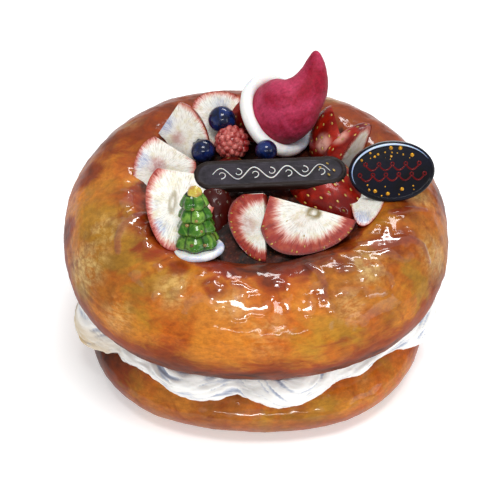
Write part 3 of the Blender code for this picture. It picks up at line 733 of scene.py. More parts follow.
def cream_material(looks):
    """Whipped cream: white, with painted cool shade in its folds and a painted buttery shade low at its
    left end.
    """
    material, tree, place = new_material(
        "whipped_cream", 0.38, Subsurface_Weight=0.15, Subsurface_Scale=0.003,
        Subsurface_Radius=(1.0, 0.9, 0.75), Specular_IOR_Level=0.4)
    wisps = cloud(tree, stretched(tree, place, (1.0, 1.0, 3.4)), 95.0, 5.0, 0.65, 1.0)
    fine = cloud(tree, stretched(tree, place, (1.0, 1.0, 4.0)), 330.0, 3.0, 0.6, 0.6)
    # Painted shade, cool then deep, in the folds and along random wisps
    drawn = plus(tree, times(tree, mask(tree, "fold"), 0.9), times(tree, wisps, 0.55))
    drawn = plus(tree, drawn, times(tree, fine, 0.25))
    colour = blend(tree, spread(tree, drawn, 0.62, 1.12), looks.cream_white, looks.cream_shadow)
    colour = blend(tree, spread(tree, drawn, 0.95, 1.35, 0.0, 0.55), colour, looks.cream_deep)
    # A yellowish painted shade low at the left end
    butter = times(tree, mask(tree, "butter"), spread(tree, wisps, 0.30, 0.60, 0.45, 1.0))
    feed(tree, "Base Color", blend(tree, butter, colour, looks.cream_butter_shade))
    raise_surface(tree, plus(tree, fine, wisps), 0.35, 0.45)
    return material


def filling_material(looks):
    """Dark moist filling with crumbs in it; its near-black tone is also painted shade between the fruit.
    """
    material, tree, place = new_material(
        "dark_filling", 0.5, Coat_Weight=0.25, Coat_Roughness=0.2, Specular_IOR_Level=0.2)
    colour = mottled(tree, place, looks.filling_dark_and_shade, looks.filling_red, 110.0, 0.55, 0.3)
    crumbs = shade(tree, "TexVoronoi", Vector=place, Scale=520.0, Randomness=1.0)
    spots = spread(tree, crumbs.outputs["Distance"], 0.12, 0.30, 1.0, 0.0)
    feed(tree, "Base Color", blend(tree, times(tree, spots, 0.35), colour, tone(120, 66, 34)))
    raise_surface(tree, cloud(tree, place, 420.0, 5.0, 0.65), 0.6, 0.7)
    return material


def skin_material(looks):
    """Strawberry skin: deep red, paler at the shoulders, with soft painted highlights, painted shade in
    the seed dimples and painted shadow on fruit deep in the well.
    """
    material, tree, place = new_material(
        "strawberry_skin", 0.4, Coat_Weight=0.22, Coat_Roughness=0.12, Specular_IOR_Level=0.14,
        Subsurface_Weight=0.08, Subsurface_Scale=0.002, Subsurface_Radius=(1.0, 0.25, 0.15))
    colour = mottled(tree, place, looks.berry_red, looks.berry_deep, 90.0, 0.5, 0.16)
    warm = cloud(tree, place, 130.0, 5.0, 0.7)
    colour = blend(tree, spread(tree, warm, 0.55, 0.75, 0.0, 0.45), colour, looks.berry_warm)
    shoulder = spread(tree, mask(tree, "shoulder"), 0.72, 1.0, 0.0, 0.8)
    colour = blend(tree, shoulder, colour, looks.berry_blush)
    # Painted highlights in soft patches on the skin
    glow = times(tree, mask(tree, "glow"), spread(tree, warm, 0.35, 0.6, 0.3, 1.0))
    colour = blend(tree, glow, colour, looks.berry_highlight)
    # Painted shade in the dimples round the seeds
    colour = blend(tree, times(tree, mask(tree, "pit"), 0.6), colour, looks.berry_deep)
    # Painted shadow darkens fruit deep in the well
    feed(tree, "Base Color", blend(tree, mask(tree, "dusk"), colour, looks.berry_shadow))
    raise_surface(tree, cloud(tree, place, 650.0, 2.0, 0.5), 0.15, 0.25)
    return material


def flesh_material(looks):
    """Cut strawberry flesh: white heart, pale streaks and a narrow red rim."""
    material, tree, place = new_material(
        "strawberry_flesh", 0.42, Coat_Weight=0.15, Coat_Roughness=0.15,
        Subsurface_Weight=0.12, Subsurface_Scale=0.002, Subsurface_Radius=(1.0, 0.45, 0.35))
    fibre = shade(tree, "SeparateXYZ", Vector=stored(tree, "flesh").outputs["Vector"]).outputs
    depth = fibre["Z"]
    along_ray = shade(tree, "CombineXYZ", X=fibre["X"], Y=fibre["Y"],
                      Z=times(tree, depth, 0.22)).outputs["Vector"]
    rays = cloud(tree, along_ray, 9.0, 3.0, 0.6)
    fine_rays = cloud(tree, along_ray, 30.0, 3.0, 0.65)
    clots = cloud(tree, place, 260.0, 4.0, 0.65)
    jag = plus(tree, swing(tree, rays, 0.22), swing(tree, fine_rays, 0.24))
    missing = times(tree, calc(tree, "SUBTRACT", 1.0, mask(tree, "rim")), 0.15)
    edge = calc(tree, "SUBTRACT", depth, missing)
    skinward = calc(tree, "MINIMUM", edge, depth)
    reach = plus(tree, edge, jag)
    colour = blend(tree, spread(tree, clots, 0.45, 0.68), looks.flesh_white, looks.flesh_cream)
    grey = spread(tree, fine_rays, 0.48, 0.66, 0.0, 0.75)
    colour = blend(tree, grey, colour, looks.flesh_grey)
    blush = times(tree, mask(tree, "blush"), spread(tree, clots, 0.35, 0.6, 0.35, 1.0))
    colour = blend(tree, blush, colour, looks.flesh_blush)
    # Painted cool shade on parts of the cut faces
    cool = times(tree, mask(tree, "cool"), spread(tree, fine_rays, 0.38, 0.6, 0.3, 1.0))
    colour = blend(tree, cool, colour, looks.flesh_cool)
    colour = blend(tree, spread(tree, reach, 0.70, 0.90, 0.0, 0.85), colour, looks.flesh_pink)
    rim = blend(tree, spread(tree, clots, 0.42, 0.66), looks.rim_red, looks.rim_orange)
    rim = blend(tree, spread(tree, rays, 0.50, 0.66, 0.0, 0.5), rim, looks.berry_deep)
    colour = blend(tree, spread(tree, reach, 0.83, 0.95), colour, rim)
    outermost = spread(tree, skinward, 0.93, 0.99, 0.0, 0.85)
    colour = blend(tree, outermost, colour, looks.berry_deep)
    feed(tree, "Base Color", blend(tree, mask(tree, "hollow"), colour, looks.flesh_green))
    raise_surface(tree, plus(tree, fine_rays, times(tree, clots, 0.6)), 0.35, 0.6)
    return material


def seed_material():
    """Strawberry seeds, golden to olive, and dark brown on fruit in painted shadow."""
    material, tree, place = new_material("strawberry_seed", 0.35, Coat_Weight=0.3)
    colour = mottled(tree, place, tone(206, 168, 74), tone(140, 110, 36), 160.0, 0.5, 0.1)
    feed(tree, "Base Color", blend(tree, mask(tree, "dusk"), colour, tone(66, 34, 14)))
    return material


def blueberry_material(looks):
    """Round berry skin: navy with a pale bloom."""
    material, tree, place = new_material(
        "blueberry_skin", 0.25, Coat_Weight=0.45, Coat_Roughness=0.06, Specular_IOR_Level=0.25)
    colour = mottled(tree, place, looks.blueberry_navy, looks.blueberry_blue, 150.0, 0.54, 0.15)
    bloom = spread(tree, cloud(tree, place, 210.0, 5.0, 0.7, 0.6), 0.52, 0.80, 0.0, 0.5)
    colour = blend(tree, bloom, colour, looks.blueberry_bloom)
    feed(tree, "Base Color", blend(tree, mask(tree, "crown"), colour, tone(10, 12, 26)))
    feed(tree, "Roughness", spread(tree, bloom, 0.0, 0.5, 0.2, 0.5))
    raise_surface(tree, cloud(tree, place, 800.0, 2.0, 0.5), 0.12, 0.2)
    return material


def raspberry_material(looks):
    """Soft drupelets: pinkish red with a dusty bloom."""
    material, tree, place = new_material(
        "raspberry_skin", 0.4, Subsurface_Weight=0.2, Subsurface_Scale=0.002,
        Subsurface_Radius=(1.0, 0.3, 0.25), Coat_Weight=0.25, Coat_Roughness=0.2)
    feed(tree, "Base Color", mottled(tree, place, looks.raspberry_red, looks.raspberry_pink,
                                     330.0, 0.5, 0.25))
    raise_surface(tree, cloud(tree, place, 1500.0, 3.0, 0.6), 0.15, 0.5)
    return material


def hat_material(looks):
    """Crimson sugar with a mottled, powdery face; its dark crimson is flecks and painted shade where the
    hat faces down.
    """
    material, tree, place = new_material(
        "hat_crimson_sugar", 0.62, Sheen_Weight=0.08, Sheen_Roughness=0.5,
        Sheen_Tint=(1.0, 0.75, 0.85), Specular_IOR_Level=0.2)
    colour = mottled(tree, place, looks.hat_rose, looks.hat_crimson, 55.0, 0.50, 0.35)
    grain = cloud(tree, place, 420.0, 5.0, 0.75)
    # Dark crimson: flecks, and painted shade from the shade layer
    dark = spread(tree, plus(tree, grain, times(tree, mask(tree, "shade"), 0.35)), 0.55, 0.85)
    feed(tree, "Base Color", blend(tree, times(tree, dark, 0.75), colour, looks.hat_dark))
    raise_surface(tree, grain, 0.35, 0.5)
    return material


def sugar_material(name, light, shadow, roughness=0.4):
    """White sugar with a faint tint in patches."""
    material, tree, place = new_material(
        name, roughness, Subsurface_Weight=0.2, Subsurface_Scale=0.003, Coat_Weight=0.2,
        Coat_Roughness=0.25)
    feed(tree, "Base Color", mottled(tree, place, light, shadow, 70.0, 0.56, 0.04))
    raise_surface(tree, cloud(tree, place, 500.0, 4.0, 0.6), 0.25, 0.35)
    return material


def chocolate_material(looks):
    """Dark chocolate: a brown rim and a greyer, bloomed face."""
    material, tree, place = new_material("dark_chocolate_bar", 0.46, Specular_IOR_Level=0.2)
    rim = mottled(tree, place, looks.chocolate_brown, tone(30, 17, 12), 90.0, 0.5, 0.12)
    face = mottled(tree, place, looks.chocolate_grey, tone(50, 45, 54), 120.0, 0.5, 0.3)
    colour = blend(tree, mask(tree, "panel"), rim, face)
    scuffs = cloud(tree, stretched(tree, place, (1.0, 7.0, 7.0)), 160.0, 4.0, 0.7)
    worn = times(tree, spread(tree, scuffs, 0.52, 0.74), 0.3)
    feed(tree, "Base Color", blend(tree, worn, colour, tone(96, 90, 96)))
    raise_surface(tree, scuffs, 0.15, 0.35)
    return material


def glaze_material(name, light, deep, roughness, scale=70.0, flecks=0.1, gloss=0.7):
    """A glossy sugar glaze in two tones."""
    material, tree, place = new_material(
        name, roughness, Coat_Weight=gloss, Coat_Roughness=0.07, Specular_IOR_Level=0.5 * gloss)
    feed(tree, "Base Color", mottled(tree, place, light, deep, scale, 0.52, flecks))
    raise_surface(tree, cloud(tree, place, 380.0, 3.0, 0.55), 0.25, 0.3)
    return material


def tree_material(looks):
    """Green glaze, lighter on the swags and darkened with painted shade in the creases."""
    material, tree, place = new_material(
        "green_glaze", 0.25, Coat_Weight=0.5, Coat_Roughness=0.08, Specular_IOR_Level=0.25)
    colour = mottled(tree, place, looks.tree_green, looks.tree_light, 190.0, 0.55, 0.15)
    # Painted shade in the creases
    crease = spread(tree, mask(tree, "crease"), 0.15, 0.75)
    feed(tree, "Base Color", blend(tree, crease, colour, looks.tree_dark))
    raise_surface(tree, cloud(tree, place, 420.0, 3.0, 0.55), 0.25, 0.4)
    return material


def gold_material(looks):
    """Gold lustre on sugar pearls."""
    material, tree, place = new_material("gold_lustre", 0.3, Metallic=0.75, Coat_Weight=0.3)
    feed(tree, "Base Color", mottled(tree, place, looks.gold, tone(168, 116, 26), 300.0, 0.55, 0.1))
    return material


def floor_material():
    """A pale floor, lit a little by itself."""
    material, tree, place = new_material(
        "pale_floor", 0.8, Specular_IOR_Level=0.1, Emission_Strength=0.32,
        Emission_Color=(1.0, 1.0, 1.0))
    haze = cloud(tree, place, 3.0, 2.0, 0.5)
    feed(tree, "Base Color", blend(tree, haze, tone(247, 247, 247), tone(242, 242, 243)))
    return material


# Pieces: buns, cream and filling

# Patches on the upper bun: degrees from the front towards +X, slope in
# degrees, how far they reach in millimetres and how strong they are
# Paler patches: a buttery tone that also paints highlights on the bun's front and sides
PALE_AND_HIGHLIGHT_PATCHES = (
    (-58, 36, 19, 0.9), (-64, 70, 13, 0.75), (-27, 64, 12, 0.6), (-40, 22, 12, 0.5),
    (40, 72, 12, 0.8), (64, 32, 15, 0.7), (28, 48, 11, 0.45), (84, 62, 10, 0.5),
    (150, 60, 12, 0.3), (-125, 62, 12, 0.3), (2, 34, 15, 0.3), (-8, 60, 10, 0.35),
)
# Darker patches: toasting, and painted shade at the bun's left and right edges, at its foot and at the
# well's lip
TOAST_AND_SHADE_PATCHES = (
    (-78, 22, 15, 0.75), (-98, 50, 16, 0.6), (100, 52, 16, 0.6), (-84, -20, 24, 0.6),
    (-64, 2, 16, 0.5), (92, 24, 17, 0.75), (75, 78, 16, 0.5), (60, 4, 20, 0.5),
    (35, 84, 12, 0.55), (-135, 40, 24, 0.4), (18, 66, 9, 0.4), (-14, 74, 12, 0.55),
    (6, 86, 13, 0.75), (-30, 86, 9, 0.6), (180, 40, 20, 0.4), (120, 30, 24, 0.4),
    (-45, 88, 14, 0.5), (38, 24, 12, 0.35), (-28, 30, 12, 0.3),
)
JUICE_PATCHES = (
    (-60, 96, 9, 0.85), (-78, 100, 11, 0.75), (50, 84, 8, 0.75), (62, 70, 7, 0.5),
    (-42, 100, 9, 0.7), (-100, 95, 12, 0.5), (14, 92, 12, 0.55), (-16, 98, 12, 0.5),
)
BUN_LAYERS = ("toast", "pale", "juice", "glaze", "wet")


@cache
def patch_centre(degrees, slope):
    """The middle of a patch on the upper bun, found once."""
    angle = math.radians(degrees - 90)
    return round_place(angle, *upper_point(angle, math.radians(slope)))


def patch_strength(place, patches):
    """How strongly the patches show at a place on the upper bun."""
    strength = 0.0
    for degrees, slope, reach, amount in patches:
        away = (place - patch_centre(degrees, slope)).length / (reach * MM)
        strength = max(strength, amount * (1 - ease(0.2, 1.0, away)))
    return strength


def make_upper_bun(looks):
    """The ring bun: lumpy glaze, a lip and foot darkened by toasting and by painted shade, and its well.
    """
    lip = math.acos((WELL_LIP_RADIUS - CREST_RADIUS) / INNER_HALF_WIDTH)
    rows = evenly(lip, math.pi / 2, LIP_ROWS)
    rows += evenly(math.pi / 2, -math.pi / 2, UPPER_ROWS)[1:]
    lip_height = UPPER_MIDDLE + UPPER_HALF_HEIGHT * math.sin(lip)
    profile = [(0.0, WELL_FLOOR)]
    for step in range(WELL_ROWS):
        share = step / WELL_ROWS
        profile.append((between(WELL_FLOOR_RADIUS, WELL_LIP_RADIUS, share),
                        between(WELL_FLOOR, lip_height, share)))
    first = len(profile)
    for slope in rows:
        half_width = INNER_HALF_WIDTH if math.cos(slope) < 0 else UPPER_RADIUS - CREST_RADIUS
        profile.append((CREST_RADIUS + half_width * math.cos(slope),
                        UPPER_MIDDLE + UPPER_HALF_HEIGHT * math.sin(slope)))
    last = len(profile) - 1
    profile.append((0.0, UPPER_UNDERSIDE))
    bm = spun(profile, UPPER_COLUMNS)
    row_layer = bm.verts.layers.int["row"]
    layers = number_layers(bm, BUN_LAYERS)
    for vert in bm.verts:
        row = vert[row_layer]
        # The well and the underside, hidden by the filling and the cream, get dark painted shade
        if row < first or row > last:
            vert[layers["toast"]] = 0.9
            continue
        slope = rows[row - first]
        degrees = math.degrees(slope)
        angle = turn_of(vert.co)
        plain = round_place(angle, *upper_point(angle, slope))
        lump = 0.45 * rough(plain, 26 * MM, 2) * MM
        lump += looks.glaze_lump * rough(plain + Vector((0.3, 0.1, 0)), 7 * MM, 3)
        run, beads = syrup_at(math.degrees(angle) + 90, degrees, plain)
        lump += looks.syrup_height * max(run, ease(0.05, 0.20, beads))
        out = lump * ease(-88, -60, degrees) - 0.12 * MM
        vert.co = round_place(angle, *upper_point(angle, slope, out))
        vert.co.x = clamp(vert.co.x, -UPPER_RADIUS, UPPER_RADIUS)
        shade_bun_point(vert, layers, plain, slope)
        vert[layers["juice"]] = max(vert[layers["juice"]], 0.5 * run)
        vert[layers["wet"]] = max(0.4 * run, beads)
    return mesh_object("upper_bun", bm, [crust_material("glazed_crust", looks)])


# Millimetres of crust to a degree round the cake, and to a degree of slope
TURN_LENGTH = 1.12
SLOPE_LENGTH = 0.44
# Runs of syrup down the glaze: (degrees from the front towards +X, slope in
# degrees, half width in millimetres) from the fruit downwards
SYRUP_RUNS = (
    ((46, 96, 3.0), (51, 84, 3.6), (57, 74, 3.2), (62, 62, 2.2), (63, 50, 1.6), (60, 38, 1.3)),
    ((-66, 112, 2.6), (-64, 98, 3.0), (-61, 84, 2.4), (-57, 75, 1.8), (-52, 68, 1.4)),
    ((70, 88, 2.2), (74, 76, 2.2), (77, 65, 1.5), (79, 55, 1.1)),
    ((22, 100, 2.0), (24, 84, 2.2), (23, 70, 1.6), (21, 58, 1.2)),
)


def syrup_at(degrees, slope, plain):
    """How high syrup stands at a place: in runs, and in scattered beads."""
    run = 0.0
    for knots in SYRUP_RUNS:
        for first, second in zip(knots, knots[1:]):
            run = max(run, near_run(degrees, slope, first, second))
    beads = noise.noise(plain / (5.0 * MM)) + 0.22 * noise.noise(plain / (2.1 * MM))
    crest = ease(42, 52, slope) * (1 - ease(76, 89, slope)) * hump(degrees, 8, 62) ** 0.5
    left = ease(82, 92, slope) * (1 - ease(110, 120, slope)) * hump(degrees, -64, 26) ** 0.5
    right = ease(56, 66, slope) * (1 - ease(92, 104, slope)) * hump(degrees, 56, 20) ** 0.5
    return run, max(0.0, beads + 0.03) * max(crest, 0.8 * left, 0.7 * right)


def near_run(degrees, slope, first, second):
    """One inside a stretch of syrup, falling to zero at its edges."""
    away = ((degrees - first[0] + 180) % 360 - 180) * TURN_LENGTH
    drop = (slope - first[1]) * SLOPE_LENGTH
    far = (second[0] - first[0]) * TURN_LENGTH
    fall = (second[1] - first[1]) * SLOPE_LENGTH
    share = clamp((away * far + drop * fall) / (far * far + fall * fall))
    gap = math.hypot(away - far * share, drop - fall * share)
    return 1 - ease(0.45, 1.0, gap / between(first[2], second[2], share))


def shade_bun_point(vert, layers, plain, slope):
    """Store how toasted and shaded, pale and highlighted, red and glazed one point of the bun is; the
    shade and highlights are painted.
    """
    degrees = math.degrees(slope)
    turn = math.degrees(math.atan2(plain.x, -plain.y))
    radius = math.hypot(plain.x, plain.y)
    # Painted shade: dark round the well's lip under the fruit, where toasting and juice add to it, at
    # the foot, and at the edges where the bun turns away; darker towards the back too
    ragged = 4.5 * MM * rough(plain, 8 * MM, 4)
    reach = 58.5 * MM + 7.5 * MM * hump(turn, 2, 75) ** 0.6
    lip = 1 - ease(reach - 8 * MM, reach + 3 * MM, radius + ragged)
    uneven = 10 * rough(plain, 20 * MM, 3)
    front = hump(turn, 6, 62)
    foot = 0.82 * (1 - ease(-20, 9, degrees + 0.6 * uneven))
    side = 0.68 * (1 - ease(-6, 30, degrees + uneven)) * (1 - 0.35 * front)
    side = max(side, 0.42 * ease(58, 84, degrees + uneven) * front)
    stroke = noise.noise(Vector((math.radians(turn) * 1.8, degrees / 6, 0.3)))
    side = max(side, 0.36 * ease(0.0, 0.5, stroke) * hump(degrees, 16, 24))
    back = 0.50 * ease(70, 130, abs(turn))
    toast = max(0.85 * lip, foot, side, back, patch_strength(plain, TOAST_AND_SHADE_PATCHES))
    vert[layers["toast"]] = min(1.0, toast + 0.3 * back)
    # The pale patches paint highlights as well as a buttery tone
    vert[layers["pale"]] = patch_strength(plain, PALE_AND_HIGHLIGHT_PATCHES) * (1 - lip)
    vert[layers["juice"]] = 0.8 * patch_strength(plain, JUICE_PATCHES)
    vert[layers["glaze"]] = 0.08 + 0.22 * ease(10, 45, degrees)


def make_lower_bun(looks):
    """The flat bun under the cream: olive-brown above, darkened with painted shade under the cream and
    at its ends, orange at its foot.
    """
    rows = evenly(math.pi / 2, -math.pi / 2, LOWER_ROWS)
    profile = [(0.0, LOWER_HEIGHT)]
    for slope in rows:
        upper = slope >= 0
        flat = LOWER_TOP_RADIUS if upper else LOWER_BASE_RADIUS
        half_height = LOWER_HEIGHT - LOWER_WIDEST if upper else LOWER_WIDEST
        profile.append((flat + (LOWER_RADIUS - flat) * math.cos(slope),
                        LOWER_WIDEST + half_height * math.sin(slope)))
    last = len(profile) - 1
    profile.append((0.0, 0.0))
    bm = spun(profile, LOWER_COLUMNS)
    row_layer = bm.verts.layers.int["row"]
    layers = number_layers(bm, BUN_LAYERS)
    for vert in bm.verts:
        row = vert[row_layer]
        if row == 0 or row > last:
            continue
        slope = rows[row - 1]
        degrees = math.degrees(slope)
        angle = turn_of(vert.co)
        plain = round_place(angle, *lower_point(angle, slope))
        lump = 0.4 * rough(plain, 24 * MM, 2) * MM + 0.25 * rough(plain, 6 * MM, 3) * MM
        out = (lump - 0.15 * MM) * ease(-80, -40, degrees)
        radius, height = lower_point(angle, slope, out)
        vert.co = round_place(angle, radius, max(0.0, height))
        turn = math.degrees(angle) + 90
        # Painted shade: darker on top where the cream hangs over, at the left and right ends, underneath
        # and towards the back
        left = max(hump(turn, -62, 38), 0.75 * hump(turn, 72, 30))
        back = ease(80, 130, abs((turn + 180) % 360 - 180))
        top = ease(25, 75, degrees)
        under = 1 - ease(-75, -45, degrees)
        vert[layers["toast"]] = max(0.42 * top, 0.85 * left, 0.9 * under, 0.5 * back, 0.08)
        vert[layers["pale"]] = 0.5 * ease(0.1, 0.6, rough(plain, 20 * MM, 2)) * (1 - left) * top
        vert[layers["juice"]] = 0.42 * hump(degrees, -12, 36) * (1 - 0.6 * left)
        vert[layers["glaze"]] = 0.3
        line = hump(degrees, 30, 22) * hump(turn, 2, 52)
        vert[layers["wet"]] = line * (0.14 + 0.35 * noise.noise(plain / (4.0 * MM)))
    return mesh_object("lower_bun", bm, [crust_material("lower_crust", looks)])


def cream_section(angle):
    """Points (radius, height) of the cream's outline, top to bottom."""
    reach, droop = cream_edge(angle)
    top_out = reach - CREAM_TOP_INSET - crest_radius(angle)
    top_slope = -math.acos(top_out / outer_half_width(angle))
    foot_out = reach - CREAM_FOOT_INSET - LOWER_TOP_RADIUS - in_quarter(LOWER_SPREAD, angle)
    foot_slope = math.acos(max(0.0, foot_out / (LOWER_RADIUS - LOWER_TOP_RADIUS)))
    points = [(0.0, UPPER_UNDERSIDE - CREAM_GAP)]
    for slope in evenly(-math.pi / 2, top_slope, CREAM_EDGE_ROWS):
        points.append(upper_point(angle, slope, CREAM_GAP))
    top = points[-1]
    foot = lower_point(angle, foot_slope, CREAM_GAP)
    for row in range(1, CREAM_BULGE_ROWS):
        share = row / CREAM_BULGE_ROWS
        ridge = CREAM_RIDGE * math.sin(9 * angle + 7 * share) * math.sin(math.pi * share)
        bulge = math.sin(math.pi * share) ** 0.6
        radius = between(between(top[0], foot[0], share), reach, bulge) + ridge
        height = between(top[1], foot[1], share) - droop * bulge
        points.append((radius, height))
    for slope in evenly(foot_slope, math.pi / 2, CREAM_EDGE_ROWS):
        points.append(lower_point(angle, slope, CREAM_GAP))
    points.append((0.0, LOWER_HEIGHT + CREAM_GAP))
    return points


def make_cream(looks):
    """Whipped cream smeared between the buns, with streaks and lobes."""
    rings = len(cream_section(0.0)) - 1
    sections = {}

    def rule(angle, down):
        key = round(angle, 6)
        if key not in sections:
            sections[key] = cream_section(angle)
        return round_place(angle, *sections[key][round(down * rings)])

    def ruffled(vert):
        radius = math.hypot(vert.co.x, vert.co.y)
        if radius < CREAM_CORE:
            return 0.0
        angle = turn_of(vert.co)
        height = vert.co.z
        sweep = Vector((math.cos(angle) * 2.3, math.sin(angle) * 2.3, height / (4.2 * MM)))
        drag = sweep + Vector((0, 0, 2.2 * math.sin(4 * angle) + 1.1 * math.sin(9 * angle + 1)))
        streak = 1 - abs(noise.fractal(drag * 1.3, 0.9, 2.1, 3)) * 2.4
        ruffle = rough(Vector((vert.co.x, vert.co.y, height * 1.5)), 9 * MM, 3)
        # Painted shade in the folds and streaks, and a yellowish painted shade low at the left end
        vert[layers["fold"]] = clamp(0.42 - 0.55 * streak - 0.45 * ruffle)
        side = hump(math.degrees(angle) + 90, -70, 30) ** 0.6
        vert[layers["butter"]] = side * ease(44 * MM, 30 * MM, height) * 0.95
        shown = ease(69 * MM, 75 * MM, radius)
        return shown * (0.50 * MM * (streak - 0.35) + looks.ruffle_depth * ruffle)

    bm = ball(CREAM_COLUMNS, rings, rule)
    layers = number_layers(bm, ("fold", "butter"))
    roughen(bm, ruffled)
    return mesh_object("cream_ruffle", bm, [cream_material(looks)], 80)


def make_filling(looks):
    """The dark filling, heaped to a lumpy dome; its darkness is partly painted shade between the fruit.
    """
    edge = between(WELL_FLOOR_RADIUS, WELL_LIP_RADIUS, FILLING_RISE)
    profile = []
    for step in range(FILLING_ROWS + 1):
        share = step / FILLING_ROWS
        profile.append((edge * share, between(FILLING_CROWN, FILLING_EDGE, share ** 2)))
    profile.append((WELL_FLOOR_RADIUS, WELL_FLOOR + 0.3 * MM))
    profile.append((0.0, WELL_FLOOR + 0.3 * MM))
    bm = spun(profile, FILLING_COLUMNS)
    row_layer = bm.verts.layers.int["row"]
    for vert in bm.verts:
        if vert[row_layer] > FILLING_ROWS:
            continue
        radius = math.hypot(vert.co.x, vert.co.y)
        fade = 1 - ease(edge * 0.9, edge, radius)
        vert.co.z += (0.9 * MM * rough(vert.co, 7 * MM, 4) - 0.4 * MM) * fade
    return mesh_object("filling_heap", bm, [filling_material(looks)], 80)


# Pieces: fruit


def berry_frame(berry):
    """Where a strawberry sits: Z to its tip, X out of its cut face."""
    return Matrix.Translation(point(berry.centre)) @ facing(leaned(berry.tip), leaned(berry.face))


def kept_sector(berry):
    """The angles between which the cut strawberry keeps its skin."""
    start = math.pi / 2
    end = 3 * math.pi / 2
    if not berry.second:
        return start, end
    tip = leaned(berry.tip)
    second = leaned(berry.second)
    second = (second - tip * second.dot(tip)).normalized()
    local = facing(tip, leaned(berry.face)).to_3x3().transposed() @ second
    turn = turn_of(local)
    return start + max(0.0, turn), end + min(0.0, turn)


def seed_places(berry, spacing):
    """Points on the skin, with their outward and tipward directions."""
    start, end = kept_sector(berry)
    length = berry.length * MM
    rows = max(5, round(length * 1.25 / spacing))
    places = []
    chooser = random.Random(berry.name)
    for row in range(1, rows):
        down = row / rows
        if 0.5 * math.cos(math.pi * down) < berry.stalk - 0.48:
            continue
        radius = berry_radius(berry, 0.0, down)
        count = max(3, round(2 * math.pi * radius / (spacing * 1.05)))
        for step in range(count):
            angle = 2 * math.pi * (step + 0.5 * (row % 2)) / count + chooser.uniform(-0.05, 0.05)
            angle %= 2 * math.pi
            if not start + 0.03 < angle < end - 0.03:
                continue
            drop = down + chooser.uniform(-0.012, 0.012)
            here = skin_point(berry, angle, drop)
            ahead = skin_point(berry, angle, drop - 0.01)
            beside = skin_point(berry, angle + 0.03, drop)
            tipward = (ahead - here).normalized()
            outward = (beside - here).cross(tipward).normalized()
            if outward.dot(Vector((here.x, here.y, 0))) < 0:
                outward = -outward
            places.append((here, outward, tipward))
    return places


def skin_point(berry, angle, down):
    """A point of the whole strawberry's skin in its own axes."""
    height = berry.length / 2 * MM * math.cos(math.pi * down)
    return round_place(angle, berry_radius(berry, angle, down), height)


def sector_place(turn, start, end):
    """Angle and share from the heart for one column of a cut strawberry."""
    if turn <= SKIN_SHARE:
        return start + (end - start) * turn / SKIN_SHARE, 1.0
    face = (turn - SKIN_SHARE) / (1 - SKIN_SHARE)
    if face < 0.5:
        return end, 1 - 2 * face
    return start, 2 * face - 1


# Small hollows in cut faces: place (y, z) in the fruit's own axes, half
# width, half height in millimetres, and how marked they are
HOLLOWS = {"strawberry_h": (1.8, 2.4, 1.9, 2.4, 0.9), "strawberry_c": (3.4, -1.0, 1.3, 4.6, 0.6)}
# How much of the red rim a cut face shows, where it is not all of it
RIMS = {"strawberry_a": 0.25, "strawberry_b": 0.45, "strawberry_c": 0.7, "strawberry_d": 0.5,
        "strawberry_j": 0.1, "strawberry_f": 1.2, "strawberry_g": 2.0, "strawberry_h": 1.9}
# Marks: kind, place (x, y, z) in the fruit's own axes, reach and strength. The cool marks are painted
# shade, those on the skin painted highlights and those that darken whole fruit painted shadow; blush is
# the flesh's own tint.
MARKS = {
    "strawberry_a": (("cool", (0, -0.5, -10.8), 8, 0.9), ("blush", (0, 1.1, -0.4), 5, 0.6)),
    "strawberry_b": (("blush", (0, 2.6, -1.0), 6, 0.8), ("cool", (0, 10.8, 0.8), 7, 0.8)),
    "strawberry_c": (("cool", (0, 8.0, 13.5), 7, 0.7), ("cool", (0, 12.0, 2.0), 5, 0.3)),
    "strawberry_d": (("cool", (0, -0.4, -7.6), 6, 0.5),),
    "strawberry_g": (("blush", (0, 8.2, -0.7), 7, 0.45),),
    "strawberry_h": (("blush", (0, 8.0, -2.3), 7, 0.12),),
    "strawberry_j": (("cool", (0, 1.1, 11.4), 7, 0.8),),
    "strawberry_e": (("glow", (-8.6, -12.3, 0), 6, 0.9),),
    "strawberry_f": (("glow", (-7.0, -9.0, 4), 6, 0.9),),
    "strawberry_i": (("glow", (-10.0, 4.0, -8), 6, 0.35),),
    "strawberry_k": (("dusk", (0, 0, 0), 60, 0.95),),
    "strawberry_n": (("dusk", (0, 0, 0), 60, 0.7),),
    "strawberry_o": (("dusk", (0, 0, 0), 60, 0.7),),
}
FACE_MARKS = ("blush", "cool", "glow", "dusk")
# Seeds in cut faces: places (y, z), and how many along the red rim
FACE_SEEDS = {
    "strawberry_h": ((0.8, -6.5), (4.5, -6.7), (8.4, -7.8), (2.9, 13.2), (12.6, 1.1)),
    "strawberry_b": ((10.4, 6.5), (6.4, 9.8)),
}
RIM_SEEDS = {"strawberry_g": 13, "strawberry_h": 19}
# Fruit pressed under a plate, and how far over the plate it could reach
PRESSED = {"strawberry_n": ("bar", 12 * MM), "strawberry_o": ("bar", 12 * MM),
           "strawberry_i": ("bar", 6 * MM), "strawberry_k": ("bar", 6 * MM),
           "strawberry_j": ("plaque", 1.5 * MM)}
PRESS_GAP = 0.35 * MM


def face_seeds(berry):
    """Seeds cut through by a face: some placed, others along its red rim."""
    places = list(FACE_SEEDS.get(berry.name, ()))
    count = RIM_SEEDS.get(berry.name, 0)
    chooser = random.Random(berry.name + "_rim")
    for step in range(count):
        down = 0.07 + 0.80 * (step + chooser.uniform(-0.25, 0.25)) / count
        share = chooser.uniform(0.80, 0.95)
        full = skin_point(berry, math.pi / 2, down)
        places.append((full.y * share / MM, full.z * (0.94 + 0.02 * share) / MM))
    return [(point((0, y, z)), Vector((1, 0, 0)), Vector((0, y, z)).normalized()) for y, z in places]


